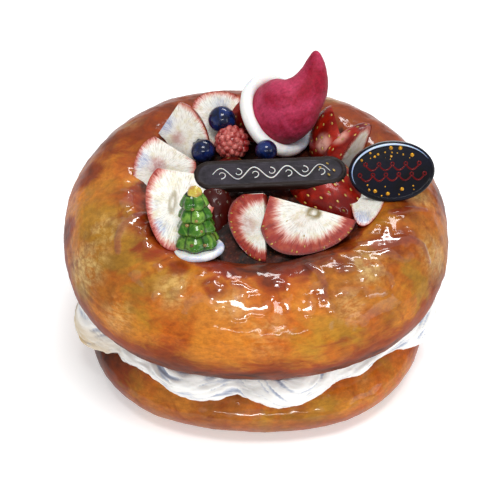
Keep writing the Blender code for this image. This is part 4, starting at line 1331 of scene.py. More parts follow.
def marked(berry, place, kind):
    """How strongly a mark of one kind shows at a place on the fruit."""
    strength = 0.0
    for name, centre, reach, amount in MARKS.get(berry.name, ()):
        if name == kind:
            away = (place - point(centre)).length / (reach * MM)
            strength = max(strength, amount * (1 - ease(0.25, 1.0, away)))
    return strength


def pressed(berry, frame_in, place):
    """Push a place on the fruit back behind the plate that lies on it."""
    if berry.name not in PRESSED:
        return place
    plate, over = PRESSED[berry.name]
    is_bar = plate == "bar"
    frame_of = bar_frame() if is_bar else plaque_frame()
    length, width, thickness = BAR_SIZE if is_bar else PLAQUE_SIZE
    local = frame_of.inverted() @ (frame_in @ place)
    if is_bar:
        shift = max(0.0, abs(local.x) - (length - width) / 2)
        inside = math.hypot(shift, local.y) < width / 2 - 0.9 * MM
    else:
        inside = math.hypot(local.x / length, local.y / width) < 0.465
    back = -thickness / 2 - PRESS_GAP
    if inside and back < local.z < thickness / 2 + over:
        local.z = back
        return frame_in.inverted() @ (frame_of @ local)
    return place


def flesh_depth(half, full, reach):
    """Share of the way from the fruit's heart to its skin, and the height over the heart."""
    heart = HEART_LIFT * half
    rise = full.z - heart
    share = rise / (half - heart if rise > 0 else half + heart)
    return math.sqrt(min(1.0, reach ** 2 + share ** 2 * (1 - reach ** 2))), rise


def make_strawberry(berry, looks, skin, flesh, seed):
    """A cut strawberry: dimpled skin, a streaked face and its seeds."""
    start, end = kept_sector(berry)
    half = berry.length / 2 * MM
    stalk = -berry.length * MM * (0.5 - berry.stalk)
    stalk_down = math.acos(max(-1.0, stalk / half)) / math.pi
    stalk_radius = max(MM, berry_radius(berry, 0.0, stalk_down))
    frame_in = berry_frame(berry)
    seeds = seed_places(berry, looks.seed_spacing)
    nearest = kdtree.KDTree(len(seeds))
    for number, (place, _, _) in enumerate(seeds):
        nearest.insert(place, number)
    nearest.balance()
    bm = unit_ball(BERRY_COLUMNS, BERRY_ROWS)
    fibre = bm.verts.layers.float_vector.new("flesh")
    layers = number_layers(bm, ("shoulder", "pit", "hollow", "rim", *FACE_MARKS))
    on_skin = {}
    for vert in bm.verts:
        turn = (turn_of(vert.co) / (2 * math.pi)) % 1.0
        down = share_down(vert.co)
        angle, reach = sector_place(round(turn * BERRY_COLUMNS) / BERRY_COLUMNS, start, end)
        full = skin_point(berry, angle, down)
        place = Vector((full.x * reach, full.y * reach, full.z))
        flat_end = place.z <= stalk
        place.z = max(place.z, stalk)
        on_skin[vert] = reach == 1.0
        vert[layers["shoulder"]] = down if berry.stalk > 0 else 0.75 * down
        vert[layers["rim"]] = RIMS.get(berry.name, 1.0)
        for kind in FACE_MARKS:
            vert[layers[kind]] = marked(berry, place, kind)
        if on_skin[vert] and not flat_end:
            pit = 1 - ease(0.35, 1.0, nearest.find(full)[2] / DIMPLE_RADIUS)
            outward = Vector((full.x, full.y, 0.35 * full.z)).normalized()
            keep = clamp(min(angle - start, end - angle) / 0.12)
            place -= outward * (looks.dimple_depth * pit * keep)
            # The dimple's depth is also painted as shade
            vert[layers["pit"]] = pit
        depth, rise = flesh_depth(half, full, reach)
        side = math.hypot(full.x, full.y) * reach
        around = math.atan2(side if angle == end else -side, rise)
        if flat_end:
            around = angle
            depth = min(1.0, math.hypot(place.x, place.y) / stalk_radius)
        elif not on_skin[vert]:
            away = hollow_away(berry, place)
            vert[layers["hollow"]] = hollow_ring(berry, away)
            inward = Vector((-math.sin(angle), math.cos(angle), 0)) * (-1 if angle == end else 1)
            if reach > 0.02:
                place += inward * face_sink(berry, away, depth, around)
        vert[fibre] = Vector((math.cos(around), math.sin(around), depth))
        vert.co = pressed(berry, frame_in, place)
    for face in bm.faces:
        cut = not all(on_skin[vert] for vert in face.verts)
        flat = all(vert.co.z <= stalk + MERGE for vert in face.verts)
        face.material_index = 1 if cut or flat else 0
    add_seeds(bm, seeds + face_seeds(berry), looks.dimple_depth, marked(berry, Vector(), "dusk"))
    bm.transform(frame_in)
    return mesh_object(berry.name + "_fruit", bm, [skin, flesh, seed], 50)


def hollow_away(berry, place):
    """Distance from the face's hollow, one at its edge; None without one."""
    if berry.name not in HOLLOWS or abs(place.x) > MERGE:
        return None
    y, z, half_width, half_height, _ = HOLLOWS[berry.name]
    return math.hypot((place.y / MM - y) / half_width, (place.z / MM - z) / half_height)


def hollow_ring(berry, away):
    """Greenish edge of the small hollow in a strawberry's heart."""
    if away is None:
        return 0.0
    return HOLLOWS[berry.name][4] * (ease(0.35, 0.8, away) - ease(1.15, 1.7, away))


def face_sink(berry, away, depth, around):
    """How far a cut face sinks: a hollow, fine rays and a soft rim."""
    sink = 0.0
    if away is not None:
        sink += 1.1 * MM * HOLLOWS[berry.name][4] * (1 - ease(0.3, 1.05, away))
    rays = noise.noise(Vector((math.cos(around) * 6, math.sin(around) * 6, depth * 0.8)))
    sink += 0.18 * MM * rays * ease(0.2, 0.6, depth)
    return sink + 0.30 * MM * ease(0.90, 1.0, depth)


def add_seeds(bm, seeds, dimple, shaded):
    """Press small pointed seeds into their dimples."""
    # Seeds on fruit in painted shadow are darkened with it
    dusk = bm.verts.layers.float["dusk"]
    size = Matrix.Diagonal((*SEED_SIZE, 1.0))
    for place, outward, tipward in seeds:
        across = outward.cross(tipward).normalized()
        axes = Matrix((across, outward, tipward)).transposed().to_4x4()
        inset = Matrix.Translation(place - outward * (dimple * 0.85))
        for vert in add_ball(bm, *SEED_GRID, inset @ axes @ size):
            vert[dusk] = shaded
            for face in vert.link_faces:
                face.material_index = 2


def make_blueberry(name, centre, radius, crown, material):
    """A round berry with its star-edged crown."""
    size = radius * MM

    def rule(angle, down):
        around = math.sin(math.pi * down)
        along = math.cos(math.pi * down)
        star = 0.5 + 0.5 * math.cos(5 * angle)
        lip = ease(0.09, 0.13, down) - ease(0.14, 0.21, down)
        cup = 1 - ease(0.05, 0.125, down)
        along += lip * (0.03 + 0.09 * star) - 0.20 * cup
        around *= 1 + 0.012 * math.sin(3 * angle) + 0.02 * lip * star
        return round_place(angle, size * around, size * 0.94 * along)

    bm = ball(*BLUEBERRY_GRID, rule)
    layer = bm.verts.layers.float.new("crown")
    for vert in bm.verts:
        share = vert.co.z / size
        side = math.hypot(vert.co.x, vert.co.y) / size
        vert[layer] = ease(0.45, 0.2, side) * ease(0.5, 0.7, share) * 0.8
    bm.transform(Matrix.Translation(point(centre)) @ facing(crown, (1, 0, 0.1)))
    return mesh_object(name + "_fruit", bm, [material], 70)


def make_raspberry(material):
    """A raspberry of round drupelets set in a close spiral."""
    bm = bmesh.new()
    bmesh.ops.create_icosphere(bm, subdivisions=4, radius=RASPBERRY_RADIUS * 0.86)
    golden = math.pi * (3 - math.sqrt(5))
    chooser = random.Random(7)
    for step in range(DRUPELETS):
        height = 1 - 2 * (step + 0.5) / DRUPELETS
        side = math.sqrt(1 - height * height)
        direction = round_place(golden * step, side, height)
        size = RASPBERRY_RADIUS * chooser.uniform(0.185, 0.225)
        place = Matrix.Translation(direction * (RASPBERRY_RADIUS - size * 0.95))
        bmesh.ops.create_icosphere(bm, subdivisions=3, radius=size, matrix=place)
    for vert in bm.verts:
        vert.co += vert.co.normalized() * 0.10 * MM * rough(vert.co, 1.6 * MM, 2)
    bm.transform(Matrix.Translation(point(RASPBERRY_CENTRE)))
    return mesh_object("raspberry_fruit", bm, [material], 80)


# Pieces: sugar hat, chocolate bar, plaque and tree


def make_hat(looks):
    """The bulging crimson hat with its bent point."""
    side = HAT_AXIS.cross(Vector((0, 0, 1))).normalized()

    def rule(angle, down):
        row = round(down * HAT_ROWS)
        if row > HAT_ROWS - HAT_FOOT_ROWS:
            share = 0.0
            radius = HAT_BASE_RADIUS * (HAT_ROWS - row) / HAT_FOOT_ROWS
        else:
            share = 1 - (row / (HAT_ROWS - HAT_FOOT_ROWS)) ** 1.4
            swell = math.sin(math.pi * min(1, share * 2.35))
            bulge = between(HAT_BASE_RADIUS, HAT_BULGE, swell)
            taper = between(HAT_POINT_RADIUS, bulge, 1 - share)
            radius = taper * math.sqrt(max(0.0, 1 - share ** 7))
        forward = (hat_spine(min(1, share + 0.02)) - hat_spine(max(0, share - 0.02))).normalized()
        if share == 0.0:
            forward = HAT_AXIS
        across = (side - forward * side.dot(forward)).normalized()
        other = forward.cross(across)
        return hat_spine(share) + (across * math.cos(angle) + other * math.sin(angle)) * radius

    def dented(vert):
        patches = ease(0.1, 0.6, rough(vert.co, 12 * MM, 2))
        # Painted shade: darker where the hat faces down, and in random patches
        vert[layers["shade"]] = ease(0.2, -0.7, vert.normal.z) + 0.4 * patches
        coarse = 0.28 * MM * rough(vert.co, 9 * MM, 3)
        return coarse + 0.10 * MM * rough(vert.co, 2.6 * MM, 2) - 0.1 * MM

    bm = ball(HAT_COLUMNS, HAT_ROWS, rule)
    layers = number_layers(bm, ("shade",))
    roughen(bm, dented)
    return mesh_object("sugar_hat", bm, [hat_material(looks)], 60)


def make_band(looks):
    """The white rolled band round the foot of the hat."""
    bm = bmesh.new()
    upright = Matrix.Translation((BAND_RADIUS, 0, 0)) @ Matrix.Rotation(math.pi / 2, 4, "X")
    verts = bmesh.ops.create_circle(bm, segments=28, radius=BAND_THICKNESS, matrix=upright)["verts"]
    edges = list({edge for vert in verts for edge in vert.link_edges})
    spin_round(bm, verts + edges, HAT_COLUMNS)
    roughen(bm, lambda vert: 0.16 * MM * rough(vert.co, 5 * MM, 3))
    bm.transform(Matrix.Translation(point(HAT_CENTRE)) @ facing(HAT_AXIS, (0, 0, 1)))
    material = sugar_material("band_sugar", looks.sugar_white, looks.sugar_cool)
    return mesh_object("hat_fur_band", bm, [material], 60)


def plate_rows(thickness, rim, sunk, dome):
    """Rows (inset, share, height, panel) of a plate, from its middle down to its back."""
    half = thickness / 2
    curve = thickness * 0.28
    rows = [(rim + 0.6 * MM, share, half - sunk + dome * (1 - share ** 2), 1.0)
            for share in (0.0, 0.15, 0.3, 0.45, 0.6, 0.72, 0.82, 0.9, 0.96, 1.0)]
    rows += [(rim + 0.3 * MM, 1.0, half - sunk * 0.75, 0.7), (rim, 1.0, half - sunk * 0.2, 0.0),
             (rim - 0.3 * MM, 1.0, half, 0.0)]
    for side, turns in ((1, evenly(math.pi / 2, 0.0, 7)), (-1, evenly(0.0, math.pi / 2, 7))):
        rows += [(curve * (1 - math.cos(turn)), 1.0, side * (half - curve * (1 - math.sin(turn))), 0.0)
                 for turn in turns]
    return rows + [(curve, share, -half, 0.0) for share in (0.7, 0.4, 0.0)]


def plate_mesh(size, straight, columns, rim, sunk, dome=0.0):
    """A plate with round ends and edges, and a sunk panel inside a rim."""
    length, width, thickness = size
    end = length * (1 - straight) / 2
    run = length * straight
    rows = plate_rows(thickness, rim, sunk, dome)
    rings = len(rows) - 1
    quarter = math.pi * end / 2 + run / 2
    bm = unit_ball(columns, rings)
    panel = bm.verts.layers.float.new("panel")
    for vert in bm.verts:
        angle = turn_of(vert.co)
        inset, share, height, vert[panel] = rows[round(share_down(vert.co) * rings)]
        fold = abs(angle) if abs(angle) <= math.pi / 2 else math.pi - abs(angle)
        distance = fold / (math.pi / 2) * quarter
        turn = min(math.pi / 2, distance / end)
        shift = run / 2 - max(0.0, distance - math.pi * end / 2)
        x = (shift + (end - inset) * math.cos(turn)) * share
        y = (width / 2 - inset) * math.sin(turn) * share
        vert.co = (math.copysign(x, math.cos(angle)), math.copysign(y, angle), height)
    return bm


def tilted(centre, turn, lean):
    """A frame at a place, turned round Z and leaned back."""
    turned = Matrix.Translation(point(centre)) @ Matrix.Rotation(turn, 4, "Z")
    return turned @ Matrix.Rotation(lean, 4, "X")


def bar_frame():
    """Where the chocolate bar lies."""
    return tilted(BAR_CENTRE, BAR_TURN, BAR_PITCH)


def plaque_frame():
    """Where the oval plaque stands."""
    return tilted(PLAQUE_CENTRE, PLAQUE_TURN, PLAQUE_LEAN)


def make_bar(looks):
    """The chocolate bar: a rounded plate with a raised rim."""
    straight = 1 - BAR_SIZE[1] / BAR_SIZE[0]
    bm = plate_mesh(BAR_SIZE, straight, BAR_COLUMNS, BAR_RIM, BAR_SUNK)
    bm.transform(bar_frame())
    return mesh_object("chocolate_plate", bm, [chocolate_material(looks)], 50)


def scroll_lines():
    """A running scroll: a waving stem with a curl in each bend."""
    height = BAR_SIZE[2] / 2 - BAR_SUNK + 0.12 * MM
    start, end = SCROLL_ENDS
    stem = []
    for step in range(SCROLL_STEPS + 1):
        x = start + (end - start) * step / SCROLL_STEPS
        y = SCROLL_SWING * math.sin(2 * math.pi * (x - start) / SCROLL_WAVE)
        stem.append((x, y, height, 0.55 + 0.45 * math.sin(math.pi * step / SCROLL_STEPS) ** 0.5))
    lines = [stem]
    up = 1
    middle = start + SCROLL_WAVE / 4
    while middle < end:
        curl = []
        for step in range(CURL_STEPS + 1):
            share = step / CURL_STEPS
            turn = up * (-math.pi / 2 + 1.45 * math.pi * share)
            size = SCROLL_SWING * (0.92 - 0.70 * share)
            x = middle + size * math.cos(turn) * 0.9
            y = size * math.sin(turn) * 0.8 - up * 0.4 * MM
            curl.append((x, y, height, 0.9 - 0.35 * share))
        lines.append(curl)
        middle += SCROLL_WAVE / 2
        up = -up
    return lines


def make_scroll(looks):
    """Pale piped scrollwork on the chocolate bar."""
    material = sugar_material("piped_white_chocolate", tone(226, 220, 216), tone(188, 182, 186), 0.45)
    return piped("bar_scrollwork", scroll_lines(), looks.scroll_radius, bar_frame(), material)


def make_plaque(looks):
    """The oval plaque: navy glaze inside a slightly raised edge, which a pale blue line lights with a
    painted highlight.
    """
    bm = plate_mesh(PLAQUE_SIZE, 0.0, PLAQUE_COLUMNS, PLAQUE_RIM, PLAQUE_SUNK, PLAQUE_DOME)
    bm.transform(plaque_frame())
    material = glaze_material("navy_glaze", looks.plaque_navy, looks.plaque_black, 0.3, 60.0,
                              0.12, 0.25)
    return mesh_object("oval_glazed_plaque", bm, [material], 50)


def make_plaque_rim():
    """A thin line of pale blue sugar along the plaque's edge, thickest at the top left: a painted
    highlight on the rim.
    """
    length, width, thickness = PLAQUE_SIZE
    along, across = EDGE_LINE
    line = [(length * along * math.cos(turn), width * across * math.sin(turn),
             thickness / 2 - 0.12 * MM, 0.18 + max(0.0, math.cos(turn - 2.0)) ** 1.2)
            for turn in evenly(0.0, 2 * math.pi, 96)]
    material = sugar_material("blue_edge_sugar", tone(196, 212, 236), tone(120, 150, 214), 0.3)
    return piped("plaque_edge_line", [line], 0.42 * MM, plaque_frame(), material)


def garland_lines():
    """Two swagged lines across the plaque, each with small loops."""
    height = PLAQUE_SIZE[2] / 2 - PLAQUE_SUNK + 0.16 * MM
    lines = []
    for level, width, swags in GARLANDS:
        line = []
        for share in evenly(0.0, 1.0, 40 * swags):
            swag = abs(math.sin(math.pi * swags * share))
            y = level + 1.1 * MM - 2.3 * MM * swag
            line.append(((share - 0.5) * width, y, height, 0.8 + 0.3 * swag))
        lines.append(line)
        for share in evenly(0.0, 1.0, swags):
            middle = Vector(((share - 0.5) * width, level + 1.6 * MM, height))
            lines.append([(*(middle + round_place(turn, LOOP_RADIUS, 0.0)), 0.8)
                          for turn in evenly(0.0, 2 * math.pi, 20)])
    return lines


def make_garland(looks):
    """Dark red piped swags on the plaque."""
    material = glaze_material("dark_red_icing", looks.garland_red, tone(84, 8, 14), 0.4, 120.0,
                              0.1, 0.2)
    return piped("plaque_garland", garland_lines(), looks.garland_radius, plaque_frame(), material)


def make_gold_dots(looks):
    """Gold sugar pearls scattered at the top and foot of the plaque."""
    chooser = random.Random(21)
    bm = bmesh.new()
    length, width, thickness = PLAQUE_SIZE
    height = thickness / 2 - PLAQUE_SUNK
    placed = []
    while len(placed) < GOLD_DOTS:
        x = chooser.uniform(-0.40, 0.40) * length
        y = chooser.choice((1, 1, -1)) * chooser.uniform(0.20, 0.40) * width
        size = chooser.choice((0.35, 0.45, 0.65, 1.0)) * MM
        inside = math.hypot(x / (0.42 * length), y / (0.41 * width)) < 1
        clear = all(math.hypot(x - u, y - v) > (size + s) * 1.1 for u, v, s in placed)
        if inside and clear:
            placed.append((x, y, size))
    for x, y, size in placed:
        shape = Matrix.Diagonal((size, size, size * 0.6, 1.0))
        add_ball(bm, *DOT_GRID, Matrix.Translation((x, y, height)) @ shape)
    bm.transform(plaque_frame())
    return mesh_object("plaque_gold_pearls", bm, [gold_material(looks)], 60)


def tree_profile():
    """Rows (height, radius, lobe depth, painted crease shade) down the tree's tiers."""
    rows = [(TREE_HEIGHT, 0.0, 0.0, 0.0)]
    tiers = list(reversed(TREE_TIERS))
    tops = [TREE_HEIGHT / MM] + [hem + 1.2 for hem, _ in tiers[:-1]]
    knots = ((0.86, 0.66), (0.5, 0.90), (0.18, 1.0), (0.0, 0.86))
    for (hem, widest), top in zip(tiers, tops):
        rise = top - hem
        inner = widest * 0.50
        for share in evenly(0.0, 1.0, TIER_ROWS - 1):
            drop = 1 - share
            bulge = math.sin(min(1.0, (1 - drop) * 1.12 + 0.12) * math.pi * 0.62) ** 0.8
            radius = max(widest * bulge, inner * 0.9)
            for (high_drop, high), (low_drop, low) in zip(knots, knots[1:]):
                if low_drop <= drop <= high_drop:
                    rise_share = (drop - low_drop) / (high_drop - low_drop)
                    radius = widest * between(low, high, rise_share)
            if drop > 0.86:
                radius = widest * (0.66 - 0.16 * (drop - 0.86) / 0.14)
            rows.append(((hem + drop * rise) * MM, radius * MM, TREE_LOBE * (0.3 + 0.7 * share),
                         ease(0.80, 1.0, drop) + 0.8 * ease(0.10, 0.0, drop)))
    rows.append((TREE_TIERS[0][0] * MM, 0.0, 0.0, 1.0))
    return rows


def make_tree(looks):
    """The green tree: four tiers of glossy swags."""
    rows = tree_profile()
    rings = len(rows) - 1
    bm = unit_ball(TREE_COLUMNS, rings)
    layer = bm.verts.layers.float.new("crease")
    for vert in bm.verts:
        angle = turn_of(vert.co)
        row = round(share_down(vert.co) * rings)
        height, radius, lobe, crease = rows[row]
        tier = max(0, row - 1) // TIER_ROWS
        swag = math.cos(6 * angle + 1.3 * tier)
        vert.co = round_place(angle, radius * (1 + lobe * swag), height)
        # Painted shade under each tier's hem and in the valleys between swags
        vert[layer] = max(crease, 0.55 * ease(-0.75, -1.0, swag))
    roughen(bm, lambda vert: 0.14 * MM * rough(vert.co, 2.2 * MM, 2))
    bm.transform(tree_frame())
    return mesh_object("green_tree", bm, [tree_material(looks)], 60)


def make_tree_disc(looks):
    """The white sugar disc under the tree."""
    half = TREE_BASE_THICKNESS / 2
    edge = TREE_BASE_RADIUS - half
    profile = [(0.0, 0.0)]
    profile += [(edge * share, 0.0) for share in (0.3, 0.6, 0.85)]
    profile += [(edge + half * math.cos(turn), half * (math.sin(turn) - 1))
                for turn in evenly(math.pi / 2, -math.pi / 2, 14)]
    profile.append((0.0, -2 * half))
    bm = spun(profile, TREE_BASE_COLUMNS)
    roughen(bm, lambda vert: 0.18 * MM * rough(vert.co, 5 * MM, 3))
    bm.transform(tree_frame())
    material = sugar_material("disc_sugar", looks.sugar_white, looks.sugar_blue, 0.3)
    return mesh_object("tree_sugar_disc", bm, [material], 60)


def make_tree_tip(looks):
    """The yellow knob, gently ribbed."""

    def rule(angle, down):
        size = TREE_TIP_RADIUS * (1 + 0.06 * math.cos(5 * angle) * math.sin(math.pi * down))
        return round_place(angle, size * math.sin(math.pi * down),
                           size * 0.9 * math.cos(math.pi * down))

    bm = ball(*TREE_TIP_GRID, rule)
    bm.transform(tree_frame() @ Matrix.Translation((0.6 * MM, -0.8 * MM, TREE_HEIGHT + 0.3 * MM)))
    material = glaze_material("yellow_glaze", looks.knob_yellow, looks.knob_amber, 0.3, 200.0)
    return mesh_object("tree_yellow_knob", bm, [material], 60)


def make_tree_pearls():
    """Small brown sugar pearls stuck on the tree."""
    bm = bmesh.new()
    shape = Matrix.Diagonal((0.9 * MM, 0.7 * MM, 0.8 * MM, 1.0))
    for x, height, radius in TREE_PEARLS:
        place = round_place(math.asin(x / radius) - math.pi / 2, radius, height) * MM
        add_ball(bm, *PEARL_GRID, Matrix.Translation(place) @ shape)
    bm.transform(tree_frame())
    material = glaze_material("amber_pearl", tone(150, 120, 60), tone(96, 74, 40), 0.25, 300.0)
    return mesh_object("tree_pearls", bm, [material], 60)


# Stage


def make_floor():
    """A wide pale floor."""
    bm = bmesh.new()
    bmesh.ops.create_grid(bm, x_segments=2, y_segments=2, size=FLOOR_REACH)
    floor = mesh_object("floor", bm, [floor_material()])


def add_area_light(name, place, size, power):
    """A soft white box that points at the cake."""
    light = bpy.data.lights.new(name, "AREA")
    light.shape = "RECTANGLE"
    light.size, light.size_y = size
    light.energy = power
    obj = new_object(name, light)
    obj.location = place
    obj.rotation_euler = (LIGHT_TARGET - Vector(place)).to_track_quat("-Z", "Y").to_euler()


def make_lights(looks):
    """An even white surround and four soft boxes."""
    world = bpy.data.worlds.new("studio")
    bpy.context.scene.world = world
    world.use_nodes = True
    background = world.node_tree.nodes["Background"]
    background.inputs["Color"].default_value = (1.0, 1.0, 1.0, 1.0)
    background.inputs["Strength"].default_value = looks.surround
    powers = (looks.key_power, looks.side_power, looks.strip_power, looks.glint_power)
    for (name, place, size), power in zip(LIGHTS, powers):
        add_area_light(name, place, size, power)


def make_camera():
    """The camera at the picture's viewing angle."""
    data = bpy.data.cameras.new("view")
    data.lens = CAMERA_LENS
    data.sensor_width = 36
    camera = new_object("view", data)
    back = Vector((0, -math.cos(CAMERA_LIFT), math.sin(CAMERA_LIFT)))
    camera.location = CAMERA_TARGET + back * CAMERA_DISTANCE
    camera.rotation_euler = (math.pi / 2 - CAMERA_LIFT, 0, 0)
    bpy.context.scene.camera = camera


# Settings, operators and panel


def colour_setting(name, description, red, green, blue):
    """A colour that a user can change, from screen values."""
    return FloatVectorProperty(name=name, description=description, subtype="COLOR", size=3,
                               min=0.0, max=1.0, default=tone(red, green, blue))


def size_setting(name, description, value):
    """A length, given in millimetres, that a user can change."""
    return FloatProperty(name=name, description=description, unit="LENGTH", subtype="DISTANCE",
                         min=0.0, max=0.02, precision=5, default=value * MM)


def power_setting(name, description, value):
    """A light's power that a user can change."""
    return FloatProperty(name=name, description=description, subtype="POWER",
                         min=0.0, max=100.0, default=value)


class CakeLooks(bpy.types.PropertyGroup):
    """Colours, fine sizes and lights of the cake."""

    crust_gold: colour_setting("Crust gold", "Light golden crust", 198, 120, 36)
    crust_orange: colour_setting("Crust orange", "Warm orange crust", 182, 88, 16)
    crust_olive: colour_setting("Crust olive", "Olive patches on the crust", 176, 122, 34)
    crust_brown: colour_setting("Crust brown", "Toasted crust", 140, 56, 10)
    crust_dark: colour_setting("Crust dark", "Darkest crust", 62, 18, 3)
    crust_pale_and_highlight: colour_setting("Crust pale", "Pale buttery crust", 226, 190, 118)
    juice_red: colour_setting("Juice red", "Red of the fruit juice", 146, 38, 16)
    cream_white: colour_setting("Cream white", "Whipped cream in the light", 255, 254, 250)
    cream_shadow: colour_setting("Cream shadow", "Cool shade in the folds", 186, 194, 212)
    cream_butter_shade: colour_setting("Cream butter", "Buttery end of the cream", 198, 164, 98)
    filling_dark_and_shade: colour_setting("Filling dark", "Darkest filling", 26, 12, 6)
    filling_red: colour_setting("Filling red", "Reddish filling", 74, 24, 12)
    berry_red: colour_setting("Berry red", "Strawberry skin", 164, 30, 10)
    berry_deep: colour_setting("Berry deep", "Deep red skin", 104, 10, 6)
    berry_blush: colour_setting("Berry blush", "Pale shoulder of the skin", 190, 74, 46)
    flesh_white: colour_setting("Flesh white", "Heart of the cut fruit", 248, 246, 238)
    flesh_pink: colour_setting("Flesh pink", "Pink flesh", 206, 104, 86)
    rim_red: colour_setting("Rim red", "Red rim of the cut fruit", 158, 28, 12)
    rim_orange: colour_setting("Rim orange", "Warm patches of the rim", 176, 66, 34)
    flesh_blush: colour_setting("Flesh blush", "Warm tint in the heart", 176, 84, 96)
    flesh_green: colour_setting("Flesh green", "Edge of the heart's hollow", 128, 104, 20)
    cream_deep: colour_setting("Cream deep", "Deepest shade between the folds", 118, 126, 150)
    berry_warm: colour_setting("Berry warm", "Orange-red tint of the skin", 176, 60, 24)
    berry_highlight: colour_setting("Berry glow", "Pale glow under the skin", 232, 176, 160)
    berry_shadow: colour_setting("Berry dusk", "Skin of the shaded fruit", 58, 12, 8)
    flesh_cream: colour_setting("Flesh cream", "Cream tint of the flesh", 232, 224, 196)
    flesh_grey: colour_setting("Flesh grey", "Grey between the fibres", 196, 188, 176)
    flesh_cool: colour_setting("Flesh cool", "Cool shade on the flesh", 150, 164, 206)
    blueberry_navy: colour_setting("Blueberry navy", "Dark skin", 10, 18, 48)
    blueberry_blue: colour_setting("Blueberry blue", "Lighter skin", 22, 44, 104)
    blueberry_bloom: colour_setting("Blueberry bloom", "Powdery bloom", 84, 104, 160)
    raspberry_red: colour_setting("Raspberry red", "Deep drupelets", 150, 30, 30)
    raspberry_pink: colour_setting("Raspberry pink", "Pale drupelets", 206, 112, 104)
    hat_rose: colour_setting("Hat rose", "Light crimson", 176, 50, 84)
    hat_crimson: colour_setting("Hat crimson", "Crimson", 142, 10, 40)
    hat_dark: colour_setting("Hat dark", "Dark crimson flecks", 96, 0, 20)
    sugar_white: colour_setting("Sugar white", "White sugar", 247, 246, 242)
    sugar_cool: colour_setting("Sugar cool", "Cool shade on the band", 214, 222, 236)
    sugar_blue: colour_setting("Sugar blue", "Blue shade on the disc", 176, 190, 226)
    chocolate_brown: colour_setting("Chocolate brown", "Rim of the bar", 26, 12, 8)
    chocolate_grey: colour_setting("Chocolate grey", "Face of the bar", 32, 28, 34)
    plaque_navy: colour_setting("Plaque navy", "Navy glaze", 8, 10, 28)
    plaque_black: colour_setting("Plaque black", "Darkest glaze", 5, 4, 9)
    garland_red: colour_setting("Garland red", "Piped red lines", 104, 8, 12)
    gold: colour_setting("Gold", "Gold pearls", 216, 156, 30)
    tree_green: colour_setting("Tree green", "Green glaze", 44, 100, 14)
    tree_light: colour_setting("Tree light", "Light green", 124, 166, 62)
    tree_dark: colour_setting("Tree dark", "Creases of the tree", 8, 34, 4)
    knob_yellow: colour_setting("Knob yellow", "Yellow glaze", 200, 184, 70)
    knob_amber: colour_setting("Knob amber", "Amber glaze", 184, 134, 60)
    glaze_roughness: FloatProperty(name="Glaze roughness", description="How soft the glaze's gloss is",
                                   default=0.10, min=0.0, max=1.0, subtype="FACTOR")
    surround: FloatProperty(name="Surround", description="Strength of the white surround",
                            default=0.42, min=0.0, max=5.0)
    key_power: power_setting("Key power", "Light from above the front", 5.2)
    side_power: power_setting("Side power", "Soft low light from the right", 1.6)
    strip_power: power_setting("Strip power", "Thin low light from the front", 2.0)
    glint_power: power_setting("Glint power", "Small light that gives glints", 2.8)
    glaze_lump: size_setting("Glaze lump", "Height of the crust's fine lumps", 0.32)
    syrup_height: size_setting("Syrup height", "Height of syrup runs and beads", 0.5)
    ruffle_depth: size_setting("Ruffle depth", "Depth of the cream's ruffles", 1.0)
    seed_spacing: size_setting("Seed spacing", "Distance between strawberry seeds", 4.4)
    dimple_depth: size_setting("Dimple depth", "Depth of the dimples round the seeds", 0.34)
    scroll_radius: size_setting("Scroll radius", "Half thickness of the bar's piped lines", 0.3)
    garland_radius: size_setting("Garland radius", "Half thickness of the plaque's lines", 0.42)


def looks_of(context):
    """The cake's settings."""
    return context.scene.cake_looks


class CAKE_OT_upper_bun(bpy.types.Operator):
    """Make the glazed ring bun"""

    bl_idname = "cake.upper_bun"
    bl_label = "Upper bun"

    def execute(self, context):
        finish_piece(make_upper_bun(looks_of(context)), ["bun_top"])
        return {"FINISHED"}


class CAKE_OT_lower_bun(bpy.types.Operator):
    """Make the flat bun under the cream"""

    bl_idname = "cake.lower_bun"
    bl_label = "Lower bun"

    def execute(self, context):
        finish_piece(make_lower_bun(looks_of(context)), ["bun_bottom"])
        return {"FINISHED"}


class CAKE_OT_cream(bpy.types.Operator):
    """Make the ruffled cream"""

    bl_idname = "cake.cream"
    bl_label = "Whipped cream"

    def execute(self, context):
        finish_piece(make_cream(looks_of(context)), ["cream_layer"])
        return {"FINISHED"}


class CAKE_OT_filling(bpy.types.Operator):
    """Make the dark filling in the well"""

    bl_idname = "cake.filling"
    bl_label = "Filling"

    def execute(self, context):
        finish_piece(make_filling(looks_of(context)), ["filling"])
        return {"FINISHED"}


class CAKE_OT_strawberries(bpy.types.Operator):
    """Make the cut strawberries"""

    bl_idname = "cake.strawberries"
    bl_label = "Strawberries"

    def execute(self, context):
        looks = looks_of(context)
        skin, flesh, seed = skin_material(looks), flesh_material(looks), seed_material()
        for berry in BERRIES:
            finish_piece(make_strawberry(berry, looks, skin, flesh, seed), [berry.name])
        return {"FINISHED"}


class CAKE_OT_round_berries(bpy.types.Operator):
    """Make the blueberries and the raspberry"""

    bl_idname = "cake.round_berries"
    bl_label = "Round berries"

    def execute(self, context):
        looks = looks_of(context)
        blue = blueberry_material(looks)
        for name, centre, radius, crown in BLUEBERRIES:
            finish_piece(make_blueberry(name, centre, radius, crown, blue), [name])
        finish_piece(make_raspberry(raspberry_material(looks)), ["raspberry"])
        return {"FINISHED"}


class CAKE_OT_hat(bpy.types.Operator):
    """Make the sugar hat and its band"""

    bl_idname = "cake.hat"
    bl_label = "Sugar hat"

    def execute(self, context):
        looks = looks_of(context)
        finish_piece(make_hat(looks), ["hat_body"])
        finish_piece(make_band(looks), ["hat_band"])
        return {"FINISHED"}


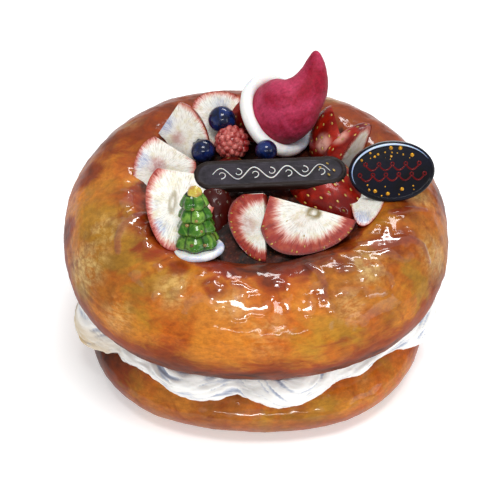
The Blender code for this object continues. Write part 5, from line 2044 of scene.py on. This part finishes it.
class CAKE_OT_bar(bpy.types.Operator):
    """Make the chocolate bar and its scrollwork"""

    bl_idname = "cake.bar"
    bl_label = "Chocolate bar"

    def execute(self, context):
        looks = looks_of(context)
        finish_piece(make_bar(looks), ["chocolate_bar"])
        finish_piece(make_scroll(looks))
        return {"FINISHED"}


class CAKE_OT_plaque(bpy.types.Operator):
    """Make the oval plaque and what is on it"""

    bl_idname = "cake.plaque"
    bl_label = "Oval plaque"

    def execute(self, context):
        looks = looks_of(context)
        finish_piece(make_plaque(looks), ["oval_plaque"])
        finish_piece(make_plaque_rim())
        finish_piece(make_garland(looks))
        finish_piece(make_gold_dots(looks))
        return {"FINISHED"}


class CAKE_OT_tree(bpy.types.Operator):
    """Make the tree, its disc, its knob and its pearls"""

    bl_idname = "cake.tree"
    bl_label = "Tree"

    def execute(self, context):
        looks = looks_of(context)
        finish_piece(make_tree(looks), ["tree"])
        finish_piece(make_tree_disc(looks), ["tree_base"])
        finish_piece(make_tree_tip(looks), ["tree_tip"])
        finish_piece(make_tree_pearls())
        return {"FINISHED"}


class CAKE_OT_stage(bpy.types.Operator):
    """Make the floor, the lights and the camera"""

    bl_idname = "cake.stage"
    bl_label = "Stage"

    def execute(self, context):
        make_floor()
        make_lights(looks_of(context))
        make_camera()
        context.scene.view_settings.view_transform = "Standard"
        return {"FINISHED"}


STEPS = (CAKE_OT_upper_bun, CAKE_OT_lower_bun, CAKE_OT_cream, CAKE_OT_filling, CAKE_OT_strawberries,
         CAKE_OT_round_berries, CAKE_OT_hat, CAKE_OT_bar, CAKE_OT_plaque, CAKE_OT_tree,
         CAKE_OT_stage)


class CAKE_PT_looks(bpy.types.Panel):
    """Buttons and colours for the cake"""

    bl_idname = "CAKE_PT_looks"
    bl_label = "Christmas cake"
    bl_space_type = "VIEW_3D"
    bl_region_type = "UI"
    bl_category = "Cake"

    def draw(self, context):
        column = self.layout.column(align=True)
        for step in STEPS:
            column.operator(step.bl_idname)
        column.separator()
        for name in CakeLooks.__annotations__:
            column.prop(looks_of(context), name)


CLASSES = (CakeLooks, *STEPS, CAKE_PT_looks)


def register():
    """Add the classes and the scene's settings."""
    for cls in CLASSES:
        bpy.utils.register_class(cls)
    bpy.types.Scene.cake_looks = PointerProperty(type=CakeLooks)


def unregister():
    """Take the settings and the classes away again."""
    del bpy.types.Scene.cake_looks
    for cls in reversed(CLASSES):
        bpy.utils.unregister_class(cls)


def main():
    """Dress the cake, one step after another."""
    register()
    for step in STEPS:
        group, name = step.bl_idname.split(".")
        getattr(getattr(bpy.ops, group), name)()


if __name__ == "__main__":
    main()
